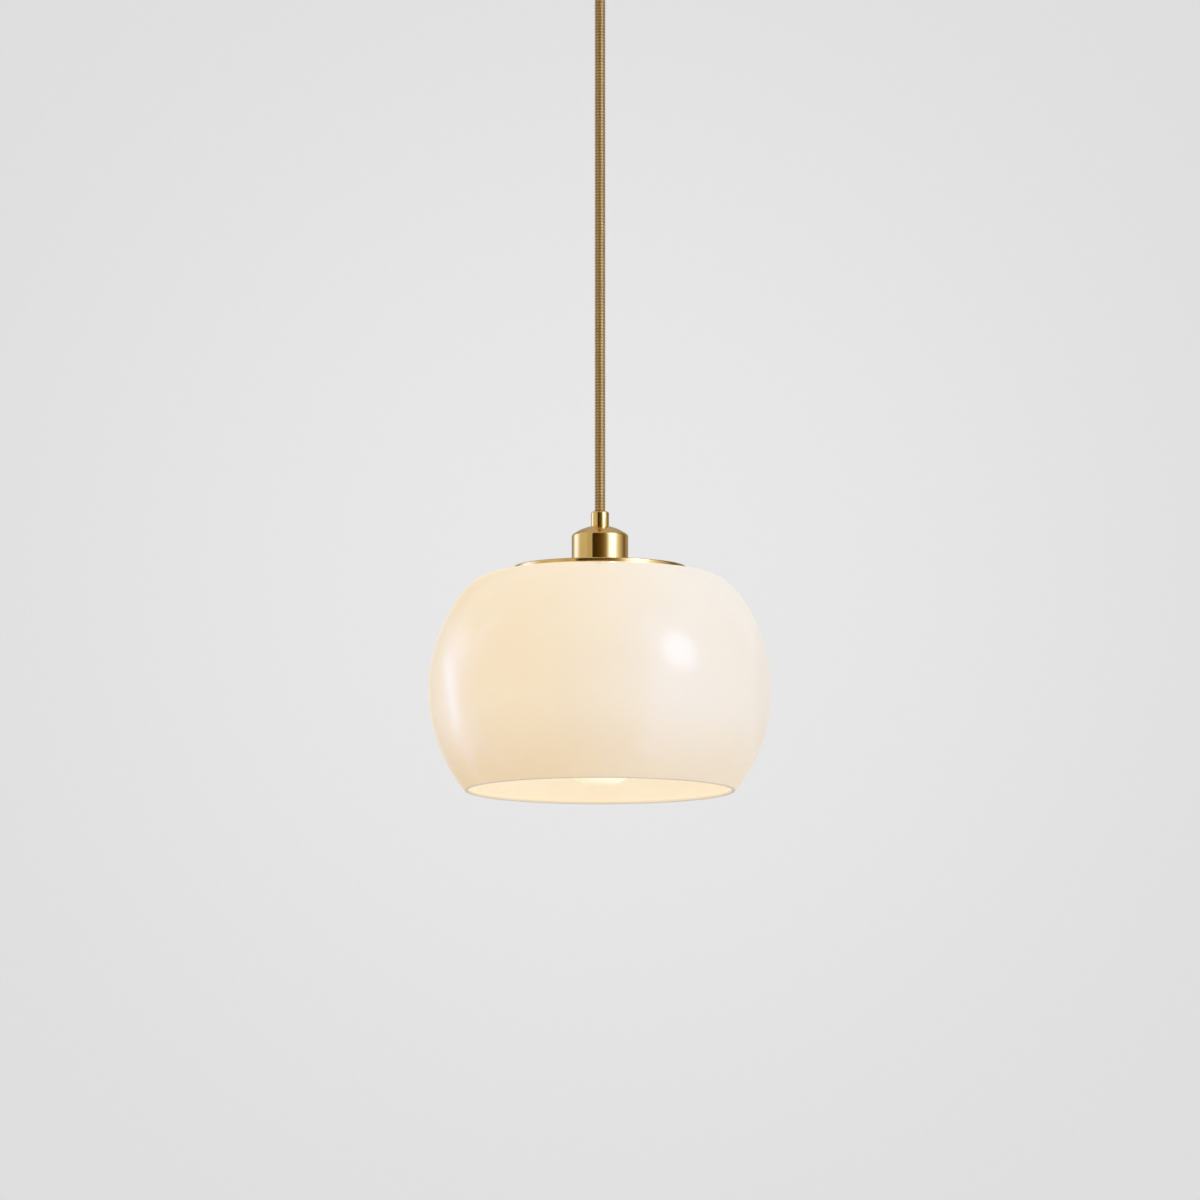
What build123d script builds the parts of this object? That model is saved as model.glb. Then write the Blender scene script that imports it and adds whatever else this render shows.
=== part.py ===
"""Pendant ceiling light: a ceiling canopy, a fabric cord and a blown opal glass shade under a brass disc.

Millimetres, +Z up. The origin is the middle of the ceiling bracket's top face, on the ceiling, and the
light hangs below it. Everything turned is centred on the Z axis.
"""

from build123d import *
import os
from math import acos, asin, cos, degrees, pi, radians, sin

os.makedirs("parts", exist_ok=True)

# ---- driving dimensions -------------------------------------------------------------------------------
RIM_Z = -610.0  # lowest edge of the glass shade

# Glass shade: belly, shoulder and crown are tangent arcs, above a flat land under the disc.
SHADE_RADIUS = 120.0
BELLY_HEIGHT = 71.0  # widest point above the rim
BELLY_ARC = 110.5
SHOULDER_ARC = 35.8
CROWN_ARC = 77.8
SHOULDER_ANGLE = 38.7  # degrees above horizontal where the belly becomes the shoulder
CROWN_ANGLE = 75.7  # and where the shoulder becomes the crown
GLASS_WALL = 3.5
GLASS_HOLE = 6.5

# Brass cover disc and socket cup
DISC_RADIUS = 60.3
DISC_SHEET = 1.2
DISC_RIM = 2.9
CUP_RADIUS = 19.8
CUP_SHEET = 1.0
CUP_SIDE = 20.9  # height of the cup's straight side
CUP_DOME_ARC = 32.0
CUP_EDGE_ARC = 2.5  # rounds the edge between side and dome
CUP_SEAT = 6.6  # flat at the dome's top, under the cord grip
CUP_NUT_SEAT = 8.4  # and the flat inside it, above the nut

# Cord and its two brass grips
CORD_RADIUS = 3.5
CORD_BORE = 3.6
KNUCKLE_RADIUS = 3.3  # the bit of cord that flexes at each end of the free length
KNUCKLE_GAP = 0.4
GRIP_RADIUS = 6.3
GRIP_LENGTH = 10.3
GRIP_CHAMFER = 0.7
GRIP_MOUTH = 5.0  # the bell mouth's radius
GRIP_MOUTH_DEPTH = 2.4
GRIP_THREAD = 4.3  # how far the nipple screws into a grip
CORE_RADIUS = 1.1  # an insulated conductor

# M10 x 1 hollow threaded tube and the nuts on it
TUBE_RADIUS = 4.95
TUBE_BORE = 3.8
NUT_BORE = 4.98
NUT_FLATS = 14.0
CLEAR_HOLE = 5.1

# Ceiling canopy and bracket
CANOPY_RADIUS = 50.0
CANOPY_DEPTH = 25.0
CANOPY_SHEET = 1.0
CANOPY_EDGE = 4.0
CANOPY_GRIP_LENGTH = 12.0
BRACKET_SHEET = 1.6
BRACKET_WIDTH = 20.0
BRACKET_REACH = 48.2  # from the axis to the outside of each bent ear
EAR_DROP = 14.0
EAR_WIDTH = 12.0
SLOT_SPACING = 66.0
SLOT_LENGTH = 12.0
SLOT_WIDTH = 5.0
SIDE_SCREW_Z = -8.0
SIDE_SCREW_RADIUS = 1.95
SIDE_SCREW_HOLE = 2.1
BLOCK_X = 16.0  # the terminal block's middle
BLOCK_SIZE = (15.0, 21.0, 12.0)
POLE_Y = (-5.5, 5.5)

# Edison screw, 27 mm: round threads that stay in mesh as the bulb unscrews
PITCH = 25.4 / 7
CAP_RADIUS = 11.95
CAP_BORE = 10.8
CAP_ROPE = 1.1
SHELL_RADIUS = 14.7
SHELL_BORE = 13.55
SHELL_ROPE = 1.05
CAP_THREAD_TURNS = 4
SHELL_THREAD_TURNS = 3.5

# A60 bulb
BULB_LENGTH = 108.0
BULB_RADIUS = 30.0
BULB_SEAM_ANGLE = 40.3  # degrees above the globe's centre where the diffuser meets the housing
BULB_NECK = 13.8
BULB_WALL = 1.5
BULB_ABOVE_RIM = 2.6
CAP_TIP = 2.0
CAP_INSULATOR = 4.0
CAP_LENGTH = 27.0

# ---- levels that follow -------------------------------------------------------------------------------
GLASS_TOP = (
    RIM_Z
    + BELLY_HEIGHT
    + (BELLY_ARC - SHOULDER_ARC) * sin(radians(SHOULDER_ANGLE))
    + (SHOULDER_ARC - CROWN_ARC) * sin(radians(CROWN_ANGLE))
    + CROWN_ARC
)
UPPER_GASKET = 1.8
DISC_UNDER = GLASS_TOP + UPPER_GASKET
DISC_TOP = DISC_UNDER + DISC_SHEET
CUP_EDGE_ANGLE = degrees(acos((CUP_RADIUS - CUP_EDGE_ARC) / (CUP_DOME_ARC - CUP_EDGE_ARC)))
CUP_SEAT_ANGLE = degrees(acos(CUP_SEAT / CUP_DOME_ARC))
CUP_DOME_Z = DISC_TOP + CUP_SIDE - (CUP_DOME_ARC - CUP_EDGE_ARC) * sin(radians(CUP_EDGE_ANGLE))
CUP_TOP = CUP_DOME_Z + CUP_DOME_ARC * sin(radians(CUP_SEAT_ANGLE))
LOWER_PIVOT = CUP_TOP + GRIP_LENGTH  # where the cord enters the lamp's grip
UPPER_PIVOT = -CANOPY_DEPTH - CANOPY_GRIP_LENGTH  # where it leaves the canopy's grip

GLASS_UNDER = GLASS_TOP - GLASS_WALL
PLATE_TOP = GLASS_UNDER - 1.0
PLATE_UNDER = PLATE_TOP - 1.6
WASHER_UNDER = PLATE_UNDER - 1.2
CLAMP_NUT_UNDER = WASHER_UNDER - 3.5

BULB_LOW = RIM_Z + BULB_ABOVE_RIM
BULB_CENTRE = BULB_LOW + BULB_RADIUS
TIP_Z = BULB_LOW + BULB_LENGTH
CAP_TOP = TIP_Z - CAP_TIP - CAP_INSULATOR
CAP_UNDER = TIP_Z - CAP_LENGTH

DOME_TOP = CLAMP_NUT_UNDER - 1.0
DOME_UNDER = DOME_TOP - 19.5
HOLDER_MOUTH = CAP_UNDER + 2.4
INSERT_UNDER = TIP_Z + 2.4
INSERT_TOP = INSERT_UNDER + 13.0
TUBE_LOW = DOME_TOP - 7.0
JACKET_END = TUBE_LOW - 2.0


# ---- shared shapes ------------------------------------------------------------------------------------
def save(part, label):
    """Names a finished piece and writes its STEP file."""
    part.label = label
    export_step(part, f"parts/{label}.step")


def ring(outer, inner, low, high):
    """A flat ring, washer or straight tube about the Z axis."""
    with BuildPart() as made:
        with BuildSketch(Plane.XY.offset(low)):
            Circle(outer)
            Circle(inner, mode=Mode.SUBTRACT)
        extrude(amount=high - low)
    return made.part


def turned(points):
    """A solid turned from a closed outline of (radius, height) points."""
    with BuildPart() as made:
        with BuildSketch(Plane.XZ):
            with BuildLine():
                Polyline(*points, close=True)
            make_face()
        revolve(axis=Axis.Z)
    return made.part


def hex_nut(low, high):
    """A thin M10 nut, chamfered at its corners."""
    with BuildPart() as made:
        with BuildSketch(Plane.XY.offset(low)):
            RegularPolygon(NUT_FLATS / 2, 6, major_radius=False)
            Circle(NUT_BORE, mode=Mode.SUBTRACT)
        extrude(amount=high - low)
        chamfer(made.edges().filter_by(GeomType.LINE).filter_by(Plane.XY), 0.35)
    return made.part


def core(*points, bend=2.0):
    """One insulated conductor along straight runs joined by bends."""
    with BuildPart() as made:
        with BuildLine() as route:
            FilletPolyline(*points, radius=bend)
        with BuildSketch(Plane(origin=route.line @ 0, z_dir=route.line % 0)):
            Circle(CORE_RADIUS)
        sweep(path=route.line)
    return made.part


def cord_grip(seat, way, length):
    """A brass cord grip: a threaded socket at its seat, a cord bore and a bell mouth. way is 1 up, -1 down."""
    outline = [
        (NUT_BORE, 0),
        (GRIP_RADIUS, 0),
        (GRIP_RADIUS, length - GRIP_CHAMFER),
        (GRIP_RADIUS - GRIP_CHAMFER, length),
        (GRIP_MOUTH, length),
        (CORD_BORE, length - GRIP_MOUTH_DEPTH),
        (CORD_BORE, GRIP_THREAD),
        (NUT_BORE, GRIP_THREAD),
    ]
    screw_z = seat + way * (length - 3.9)
    with BuildPart() as made:
        with BuildSketch(Plane.XZ):
            with BuildLine():
                Polyline(*[(r, seat + way * h) for r, h in outline], close=True)
            make_face()
        revolve(axis=Axis.Z)
        with BuildSketch(Plane((0, 0, screw_z), z_dir=(0, 1, 0))):
            Circle(1.3)
        extrude(amount=GRIP_RADIUS + 1, mode=Mode.SUBTRACT)
    return made.part


def grub_screw(z):
    """A slotted grub screw behind the cord, in a grip's side."""
    with BuildPart() as made:
        with BuildSketch(Plane((0, CORD_RADIUS, z), z_dir=(0, 1, 0))):
            Circle(1.25)
        extrude(amount=GRIP_RADIUS - CORD_RADIUS - 0.2)
        with Locations((0, GRIP_RADIUS - 0.3, z)):
            Box(3, 0.7, 0.5, mode=Mode.SUBTRACT)
    return made.part


def on_arc(centre, radius, angle):
    """The point at an angle, in degrees above horizontal, on a circle in the turning plane."""
    return (
        centre[0] + radius * cos(radians(angle)),
        centre[1] + radius * sin(radians(angle)),
    )


# ---- ceiling fitting ----------------------------------------------------------------------------------
with BuildPart() as ceiling_bracket:
    with BuildSketch(Plane.XY.offset(-BRACKET_SHEET)):
        Rectangle(2 * BRACKET_REACH, BRACKET_WIDTH)
        Circle(BRACKET_REACH + 0.4, mode=Mode.INTERSECT)
        with Locations((-SLOT_SPACING / 2, 0), (SLOT_SPACING / 2, 0)):
            SlotOverall(SLOT_LENGTH, SLOT_WIDTH, mode=Mode.SUBTRACT)
        with Locations((-15, 0)):
            Circle(1.9, mode=Mode.SUBTRACT)
        with Locations((BLOCK_X, 0)):
            Circle(1.55, mode=Mode.SUBTRACT)
    extrude(amount=BRACKET_SHEET)
    with BuildSketch(Plane.XY):
        with Locations((-BRACKET_REACH + BRACKET_SHEET / 2, 0), (BRACKET_REACH - BRACKET_SHEET / 2, 0)):
            Rectangle(BRACKET_SHEET, EAR_WIDTH)
    extrude(amount=-EAR_DROP)
    with BuildSketch(Plane((-BRACKET_REACH - 1, 0, SIDE_SCREW_Z), z_dir=(1, 0, 0))):
        Circle(SIDE_SCREW_RADIUS + 0.05)
    extrude(amount=2 * BRACKET_REACH + 2, mode=Mode.SUBTRACT)
save(ceiling_bracket.part, "ceiling_bracket")

with BuildPart() as canopy:
    with BuildSketch(Plane.XY):
        Circle(CANOPY_RADIUS)
    extrude(amount=-CANOPY_DEPTH)
    fillet(canopy.edges().sort_by(Axis.Z)[0], CANOPY_EDGE)
    offset(amount=-CANOPY_SHEET, openings=canopy.faces().sort_by(Axis.Z)[-1])
    with BuildSketch(Plane.XY.offset(-CANOPY_DEPTH - 1)):
        Circle(CLEAR_HOLE)
    extrude(amount=5, mode=Mode.SUBTRACT)
    with BuildSketch(Plane((-CANOPY_RADIUS - 1, 0, SIDE_SCREW_Z), z_dir=(1, 0, 0))):
        Circle(SIDE_SCREW_HOLE)
    extrude(amount=2 * CANOPY_RADIUS + 2, mode=Mode.SUBTRACT)
save(canopy.part, "canopy")

with BuildPart() as canopy_screws:
    for side in (-1, 1):
        with BuildSketch(Plane((side * (BRACKET_REACH - 4), 0, SIDE_SCREW_Z), z_dir=(side, 0, 0))):
            Circle(SIDE_SCREW_RADIUS)
        extrude(amount=CANOPY_RADIUS - BRACKET_REACH + 4.2)
        with BuildSketch(Plane((side * (CANOPY_RADIUS + 0.2), 0, SIDE_SCREW_Z), z_dir=(side, 0, 0))):
            Circle(3.6)
        extrude(amount=2.2)
        with Locations((side * (CANOPY_RADIUS + 2.4), 0, SIDE_SCREW_Z)):
            Box(1.4, 5.0, 0.9, mode=Mode.SUBTRACT)
    fillet(canopy_screws.edges().filter_by(GeomType.CIRCLE).group_by(Axis.X)[-1], 0.5)
    fillet(canopy_screws.edges().filter_by(GeomType.CIRCLE).group_by(Axis.X)[0], 0.5)
save(canopy_screws.part, "canopy_screws")

canopy_grip = cord_grip(-CANOPY_DEPTH, -1, CANOPY_GRIP_LENGTH)
save(canopy_grip, "canopy_grip")
canopy_grip_screw = grub_screw(-CANOPY_DEPTH - CANOPY_GRIP_LENGTH + 3.9)
save(canopy_grip_screw, "canopy_grip_screw")

CANOPY_TUBE_TOP = -CANOPY_DEPTH + CANOPY_SHEET + 4.6
canopy_tube = ring(TUBE_RADIUS, TUBE_BORE, -CANOPY_DEPTH - GRIP_THREAD + 0.1, CANOPY_TUBE_TOP)
save(canopy_tube, "canopy_tube")
canopy_nut = hex_nut(-CANOPY_DEPTH + CANOPY_SHEET, -CANOPY_DEPTH + CANOPY_SHEET + 3)
save(canopy_nut, "canopy_nut")

# Two-pole terminal block screwed up against the bracket
BLOCK_MIDDLE = -BRACKET_SHEET - BLOCK_SIZE[2] / 2
with BuildPart() as terminal_block:
    with Locations((BLOCK_X, 0, BLOCK_MIDDLE)):
        Box(*BLOCK_SIZE)
    fillet(terminal_block.edges().filter_by(Axis.X), 1.5)
    with BuildSketch(Plane.XY.offset(-BRACKET_SHEET - BLOCK_SIZE[2])):
        with Locations((BLOCK_X, 0)):
            Circle(1.6)
    extrude(amount=BLOCK_SIZE[2], mode=Mode.SUBTRACT)
    for y in POLE_Y:
        with BuildSketch(Plane((BLOCK_X - 8, y, BLOCK_MIDDLE), z_dir=(1, 0, 0))):
            Circle(2.4)
        extrude(amount=16, mode=Mode.SUBTRACT)
        with BuildSketch(Plane.XY.offset(BLOCK_MIDDLE - 7)):
            with Locations((BLOCK_X - 4, y), (BLOCK_X + 4, y)):
                Circle(1.6)
        extrude(amount=7, mode=Mode.SUBTRACT)
save(terminal_block.part, "terminal_block")

with BuildPart() as terminal_clamps:
    for y in POLE_Y:
        with BuildSketch(Plane((BLOCK_X - 6.5, y, BLOCK_MIDDLE), z_dir=(1, 0, 0))):
            Circle(2.35)
            Circle(1.35, mode=Mode.SUBTRACT)
        extrude(amount=13)
        with BuildSketch(Plane.XY.offset(BLOCK_MIDDLE - 3)):
            with Locations((BLOCK_X - 4, y), (BLOCK_X + 4, y)):
                Circle(1.3)
        extrude(amount=3, mode=Mode.SUBTRACT)
save(terminal_clamps.part, "terminal_clamps")

with BuildPart() as terminal_screws:
    for y in POLE_Y:
        with BuildSketch(Plane.XY.offset(BLOCK_MIDDLE - 5.2)):
            with Locations((BLOCK_X - 4, y), (BLOCK_X + 4, y)):
                Circle(1.25)
        extrude(amount=3.8)
        with Locations((BLOCK_X - 4, y, BLOCK_MIDDLE - 5.2), (BLOCK_X + 4, y, BLOCK_MIDDLE - 5.2)):
            Box(3, 0.5, 1.2, mode=Mode.SUBTRACT)
save(terminal_screws.part, "terminal_screws")

with BuildPart() as block_screw:
    with BuildSketch(Plane.XY.offset(-0.3)):
        with Locations((BLOCK_X, 0)):
            Circle(1.5)
    extrude(amount=0.3 - BRACKET_SHEET - BLOCK_SIZE[2])
    with BuildSketch(Plane.XY.offset(-BRACKET_SHEET - BLOCK_SIZE[2])):
        with Locations((BLOCK_X, 0)):
            Circle(2.7)
    extrude(amount=-1.6)
    with Locations((BLOCK_X, 0, -BRACKET_SHEET - BLOCK_SIZE[2] - 1.6)):
        Box(4, 0.7, 1.4, mode=Mode.SUBTRACT)
save(block_screw.part, "block_screw")

with BuildPart() as earth_screw:
    with BuildSketch(Plane.XY.offset(-0.4)):
        with Locations((-15, 0)):
            Circle(1.85)
    extrude(amount=-7.6)
    with BuildSketch(Plane.XY.offset(-6)):
        with Locations((-15, 0)):
            Circle(3.6)
    extrude(amount=-2)
    with Locations((-15, 0, -8)):
        Box(5.2, 0.9, 1.4, mode=Mode.SUBTRACT)
save(earth_screw.part, "earth_screw")

with BuildPart() as earth_washer:
    with BuildSketch(Plane.XY.offset(-6)):
        with Locations((-15, 0)):
            Circle(4.2)
            Circle(1.95, mode=Mode.SUBTRACT)
    extrude(amount=0.9)
save(earth_washer.part, "earth_washer")

# The cord's fixed upper end, and its three conductors
CEILING_JACKET_TOP = CANOPY_TUBE_TOP + 1.5
with BuildPart() as cord_top:
    with BuildSketch(Plane.XY.offset(UPPER_PIVOT + KNUCKLE_RADIUS + KNUCKLE_GAP)):
        Circle(CORD_RADIUS)
    extrude(amount=CEILING_JACKET_TOP - UPPER_PIVOT - KNUCKLE_RADIUS - KNUCKLE_GAP)
save(cord_top.part, "cord_top")

start_z = CEILING_JACKET_TOP
live_ceiling = core(
    (1.2, 1.3, start_z),
    (1.2, 1.3, start_z + 5),
    (4.5, POLE_Y[1], BLOCK_MIDDLE),
    (BLOCK_X - 6.4, POLE_Y[1], BLOCK_MIDDLE),
    bend=1.8,
)
save(live_ceiling, "ceiling_core_live")
neutral_ceiling = core(
    (1.2, -1.3, start_z),
    (1.2, -1.3, start_z + 5),
    (4.5, POLE_Y[0], BLOCK_MIDDLE),
    (BLOCK_X - 6.4, POLE_Y[0], BLOCK_MIDDLE),
    bend=1.8,
)
save(neutral_ceiling, "ceiling_core_neutral")
EARTH_CORE_Z = -BRACKET_SHEET - 2.2
earth_ceiling = core(
    (-1.7, 0, start_z),
    (-1.7, 0, EARTH_CORE_Z),
    (-12.0, 0, EARTH_CORE_Z),
    bend=3.0,
)
save(earth_ceiling, "ceiling_core_earth")

# ---- free cord ----------------------------------------------------------------------------------------
with BuildPart() as cord_knuckle_top:
    with Locations((0, 0, UPPER_PIVOT)):
        Sphere(KNUCKLE_RADIUS)
save(cord_knuckle_top.part, "cord_knuckle_top")

CORD_HIGH = UPPER_PIVOT - KNUCKLE_RADIUS - KNUCKLE_GAP
CORD_LOW = LOWER_PIVOT + KNUCKLE_RADIUS + KNUCKLE_GAP
with BuildPart() as cord:
    with BuildSketch(Plane.XY.offset(CORD_LOW)):
        Circle(CORD_RADIUS)
    extrude(amount=CORD_HIGH - CORD_LOW)
save(cord.part, "cord")
print("cord: straight, no bends; length", round(CORD_HIGH - CORD_LOW, 1), "volume", round(cord.part.volume, 1))
print("section times length", round(pi * CORD_RADIUS**2 * (CORD_HIGH - CORD_LOW), 1))

with BuildPart() as cord_knuckle_low:
    with Locations((0, 0, LOWER_PIVOT)):
        Sphere(KNUCKLE_RADIUS)
save(cord_knuckle_low.part, "cord_knuckle_low")

# ---- lamp head: grip, cup, disc and the tube they are clamped on ---------------------------------------
lamp_grip = cord_grip(CUP_TOP, 1, GRIP_LENGTH)
save(lamp_grip, "lamp_grip")
lamp_grip_screw = grub_screw(CUP_TOP + GRIP_LENGTH - 3.9)
save(lamp_grip_screw, "lamp_grip_screw")

cup_edge = (CUP_RADIUS - CUP_EDGE_ARC, DISC_TOP + CUP_SIDE)
cup_dome = (0, CUP_DOME_Z)
cup_inner_dome = CUP_DOME_ARC - CUP_SHEET
cup_under_z = CUP_DOME_Z + cup_inner_dome * sin(acos(CUP_NUT_SEAT / cup_inner_dome))
cup_under_angle = degrees(acos(CUP_NUT_SEAT / cup_inner_dome))
with BuildPart() as socket_cup:
    with BuildSketch(Plane.XZ):
        with BuildLine():
            Line((CUP_RADIUS, DISC_TOP), (CUP_RADIUS, cup_edge[1]))
            CenterArc(cup_edge, CUP_EDGE_ARC, 0, CUP_EDGE_ANGLE)
            CenterArc(cup_dome, CUP_DOME_ARC, CUP_EDGE_ANGLE, CUP_SEAT_ANGLE - CUP_EDGE_ANGLE)
            Line((CUP_SEAT, CUP_TOP), (CLEAR_HOLE, CUP_TOP))
            Line((CLEAR_HOLE, CUP_TOP), (CLEAR_HOLE, cup_under_z))
            Line((CLEAR_HOLE, cup_under_z), (CUP_NUT_SEAT, cup_under_z))
            CenterArc(cup_dome, cup_inner_dome, cup_under_angle, CUP_EDGE_ANGLE - cup_under_angle)
            CenterArc(cup_edge, CUP_EDGE_ARC - CUP_SHEET, CUP_EDGE_ANGLE, -CUP_EDGE_ANGLE)
            Line((CUP_RADIUS - CUP_SHEET, cup_edge[1]), (CUP_RADIUS - CUP_SHEET, DISC_TOP))
            Line((CUP_RADIUS - CUP_SHEET, DISC_TOP), (CUP_RADIUS, DISC_TOP))
        make_face()
    revolve(axis=Axis.Z)
save(socket_cup.part, "socket_cup")

cup_nut = hex_nut(cup_under_z - 3, cup_under_z)
save(cup_nut, "cup_nut")

with BuildPart() as cover_disc:
    with BuildSketch(Plane.XY.offset(DISC_TOP - DISC_RIM)):
        Circle(DISC_RADIUS)
    extrude(amount=DISC_RIM)
    with BuildSketch(Plane.XY.offset(DISC_TOP - DISC_RIM)):
        Circle(DISC_RADIUS - DISC_SHEET)
    extrude(amount=DISC_RIM - DISC_SHEET, mode=Mode.SUBTRACT)
    with BuildSketch(Plane.XY.offset(DISC_TOP)):
        Circle(CLEAR_HOLE)
    extrude(amount=-DISC_SHEET, mode=Mode.SUBTRACT)
    fillet(cover_disc.edges().group_by(Axis.Z)[-1].sort_by(SortBy.LENGTH)[-1], 0.9)
save(cover_disc.part, "cover_disc")

threaded_tube = ring(TUBE_RADIUS, TUBE_BORE, TUBE_LOW, CUP_TOP + GRIP_THREAD - 0.1)
save(threaded_tube, "threaded_tube")

# ---- glass shade and its clamp ------------------------------------------------------------------------
belly = (SHADE_RADIUS - BELLY_ARC, RIM_Z + BELLY_HEIGHT)
shoulder = on_arc(belly, BELLY_ARC - SHOULDER_ARC, SHOULDER_ANGLE)
crown = on_arc(shoulder, SHOULDER_ARC - CROWN_ARC, CROWN_ANGLE)
half_wall = GLASS_WALL / 2
rim_angle = degrees(asin((half_wall - BELLY_HEIGHT) / (BELLY_ARC - half_wall)))
rim_middle = on_arc(belly, BELLY_ARC - half_wall, rim_angle)
shoulder_turn = CROWN_ANGLE - SHOULDER_ANGLE
crown_turn = 90 - CROWN_ANGLE
with BuildPart() as glass_shade:
    with BuildSketch(Plane.XZ):
        with BuildLine():
            CenterArc(belly, BELLY_ARC, rim_angle, SHOULDER_ANGLE - rim_angle)
            CenterArc(shoulder, SHOULDER_ARC, SHOULDER_ANGLE, shoulder_turn)
            CenterArc(crown, CROWN_ARC, CROWN_ANGLE, crown_turn)
            Line((crown[0], GLASS_TOP), (GLASS_HOLE, GLASS_TOP))
            Line((GLASS_HOLE, GLASS_TOP), (GLASS_HOLE, GLASS_UNDER))
            Line((GLASS_HOLE, GLASS_UNDER), (crown[0], GLASS_UNDER))
            CenterArc(crown, CROWN_ARC - GLASS_WALL, 90, -crown_turn)
            CenterArc(shoulder, SHOULDER_ARC - GLASS_WALL, CROWN_ANGLE, -shoulder_turn)
            CenterArc(belly, BELLY_ARC - GLASS_WALL, SHOULDER_ANGLE, rim_angle - SHOULDER_ANGLE)
            CenterArc(rim_middle, half_wall, rim_angle, -180)
        make_face()
    revolve(axis=Axis.Z)
save(glass_shade.part, "glass_shade")

upper_gasket = ring(26, CLEAR_HOLE, GLASS_TOP, DISC_UNDER)
save(upper_gasket, "upper_gasket")
lower_gasket = ring(26, CLEAR_HOLE, PLATE_TOP, GLASS_UNDER)
save(lower_gasket, "lower_gasket")
glass_bush = ring(GLASS_HOLE - 0.1, CLEAR_HOLE, GLASS_UNDER, GLASS_TOP)
save(glass_bush, "glass_bush")
clamp_plate = ring(25, CLEAR_HOLE, PLATE_UNDER, PLATE_TOP)
save(clamp_plate, "clamp_plate")

with BuildPart() as spring_washer:
    with BuildSketch(Plane.XY.offset(WASHER_UNDER)):
        Circle(8)
        Circle(CLEAR_HOLE, mode=Mode.SUBTRACT)
        with Locations((6.5, 0)):
            Rectangle(4, 0.8, rotation=20, mode=Mode.SUBTRACT)
    extrude(amount=PLATE_UNDER - WASHER_UNDER)
save(spring_washer.part, "spring_washer")

clamp_nut = hex_nut(CLAMP_NUT_UNDER, WASHER_UNDER)
save(clamp_nut, "clamp_nut")

# ---- E27 lampholder -----------------------------------------------------------------------------------
HOLDER_RADIUS = 19.5
holder_dome = turned(
    [
        (CLEAR_HOLE, DOME_TOP),
        (8.5, DOME_TOP),
        (9.5, DOME_TOP - 1),
        (9.5, DOME_TOP - 3.5),
        (15.5, DOME_TOP - 6.5),
        (HOLDER_RADIUS - 1, DOME_TOP - 10),
        (HOLDER_RADIUS - 1, DOME_UNDER),
        (HOLDER_RADIUS - 3.5, DOME_UNDER),
        (HOLDER_RADIUS - 3.5, DOME_TOP - 11),
        (14.0, DOME_TOP - 8.6),
        (7.5, DOME_TOP - 5.4),
        (7.5, DOME_TOP - 3.0),
        (CLEAR_HOLE, DOME_TOP - 3.0),
    ]
)
save(holder_dome, "holder_dome")

entry_nut = ring(7.3, NUT_BORE, DOME_TOP - 5.2, DOME_TOP - 3.0)
save(entry_nut, "entry_nut")

holder_skirt = turned(
    [
        (15.9, DOME_UNDER),
        (HOLDER_RADIUS, DOME_UNDER),
        (HOLDER_RADIUS, HOLDER_MOUTH + 9),
        (HOLDER_RADIUS - 1.2, HOLDER_MOUTH + 8),
        (HOLDER_RADIUS - 1.2, HOLDER_MOUTH + 1.5),
        (HOLDER_RADIUS - 2.4, HOLDER_MOUTH),
        (13.7, HOLDER_MOUTH),
        (13.7, HOLDER_MOUTH + 1.6),
        (14.9, HOLDER_MOUTH + 1.6),
        (14.9, INSERT_UNDER),
        (15.9, INSERT_UNDER),
    ]
)
save(holder_skirt, "holder_skirt")

TERMINAL_X = 9.5
TERMINAL_TOP = INSERT_TOP - 3.0
with BuildPart() as holder_insert:
    with BuildSketch(Plane.XY.offset(INSERT_UNDER)):
        Circle(15.7)
    extrude(amount=INSERT_TOP - INSERT_UNDER)
    with BuildSketch(Plane.XY.offset(INSERT_TOP)):
        with Locations((-TERMINAL_X, 0), (TERMINAL_X, 0)):
            Rectangle(6.4, 7.4)
    extrude(amount=-7.0, mode=Mode.SUBTRACT)
    with BuildSketch(Plane.XY.offset(INSERT_UNDER)):
        Rectangle(19.2, 5.4)
    extrude(amount=3.0, mode=Mode.SUBTRACT)
    chamfer(holder_insert.edges().group_by(Axis.Z)[-1].sort_by(SortBy.LENGTH)[-1], 0.6)
save(holder_insert.part, "holder_insert")

with BuildPart() as holder_terminals:
    with BuildSketch(Plane.XY.offset(INSERT_TOP - 6.9)):
        with Locations((-TERMINAL_X, 0), (TERMINAL_X, 0)):
            Rectangle(6.0, 7.0)
            Circle(1.2, mode=Mode.SUBTRACT)
    extrude(amount=3.9)
save(holder_terminals.part, "holder_terminals")

with BuildPart() as holder_terminal_screws:
    with BuildSketch(Plane.XY.offset(TERMINAL_TOP + 0.1)):
        with Locations((-TERMINAL_X, 2.0), (TERMINAL_X, -2.0)):
            Circle(1.4)
    extrude(amount=1.6)
    with Locations((-TERMINAL_X, 2.0, TERMINAL_TOP + 1.7), (TERMINAL_X, -2.0, TERMINAL_TOP + 1.7)):
        Box(3, 0.5, 1.0, mode=Mode.SUBTRACT)
save(holder_terminal_screws.part, "holder_terminal_screws")

with BuildPart() as centre_contact:
    with BuildSketch(Plane.XZ.offset(-2.5)):
        with BuildLine():
            Polyline(
                (-8.8, INSERT_UNDER + 2.9),
                (-6.5, INSERT_UNDER + 2.9),
                (-3.0, TIP_Z + 0.55),
                (3.0, TIP_Z + 0.55),
                (3.0, TIP_Z + 0.05),
                (-3.2, TIP_Z + 0.05),
                (-6.8, INSERT_UNDER + 2.4),
                (-8.8, INSERT_UNDER + 2.4),
                close=True,
            )
        make_face()
    extrude(amount=5)
save(centre_contact.part, "centre_contact")

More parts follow.
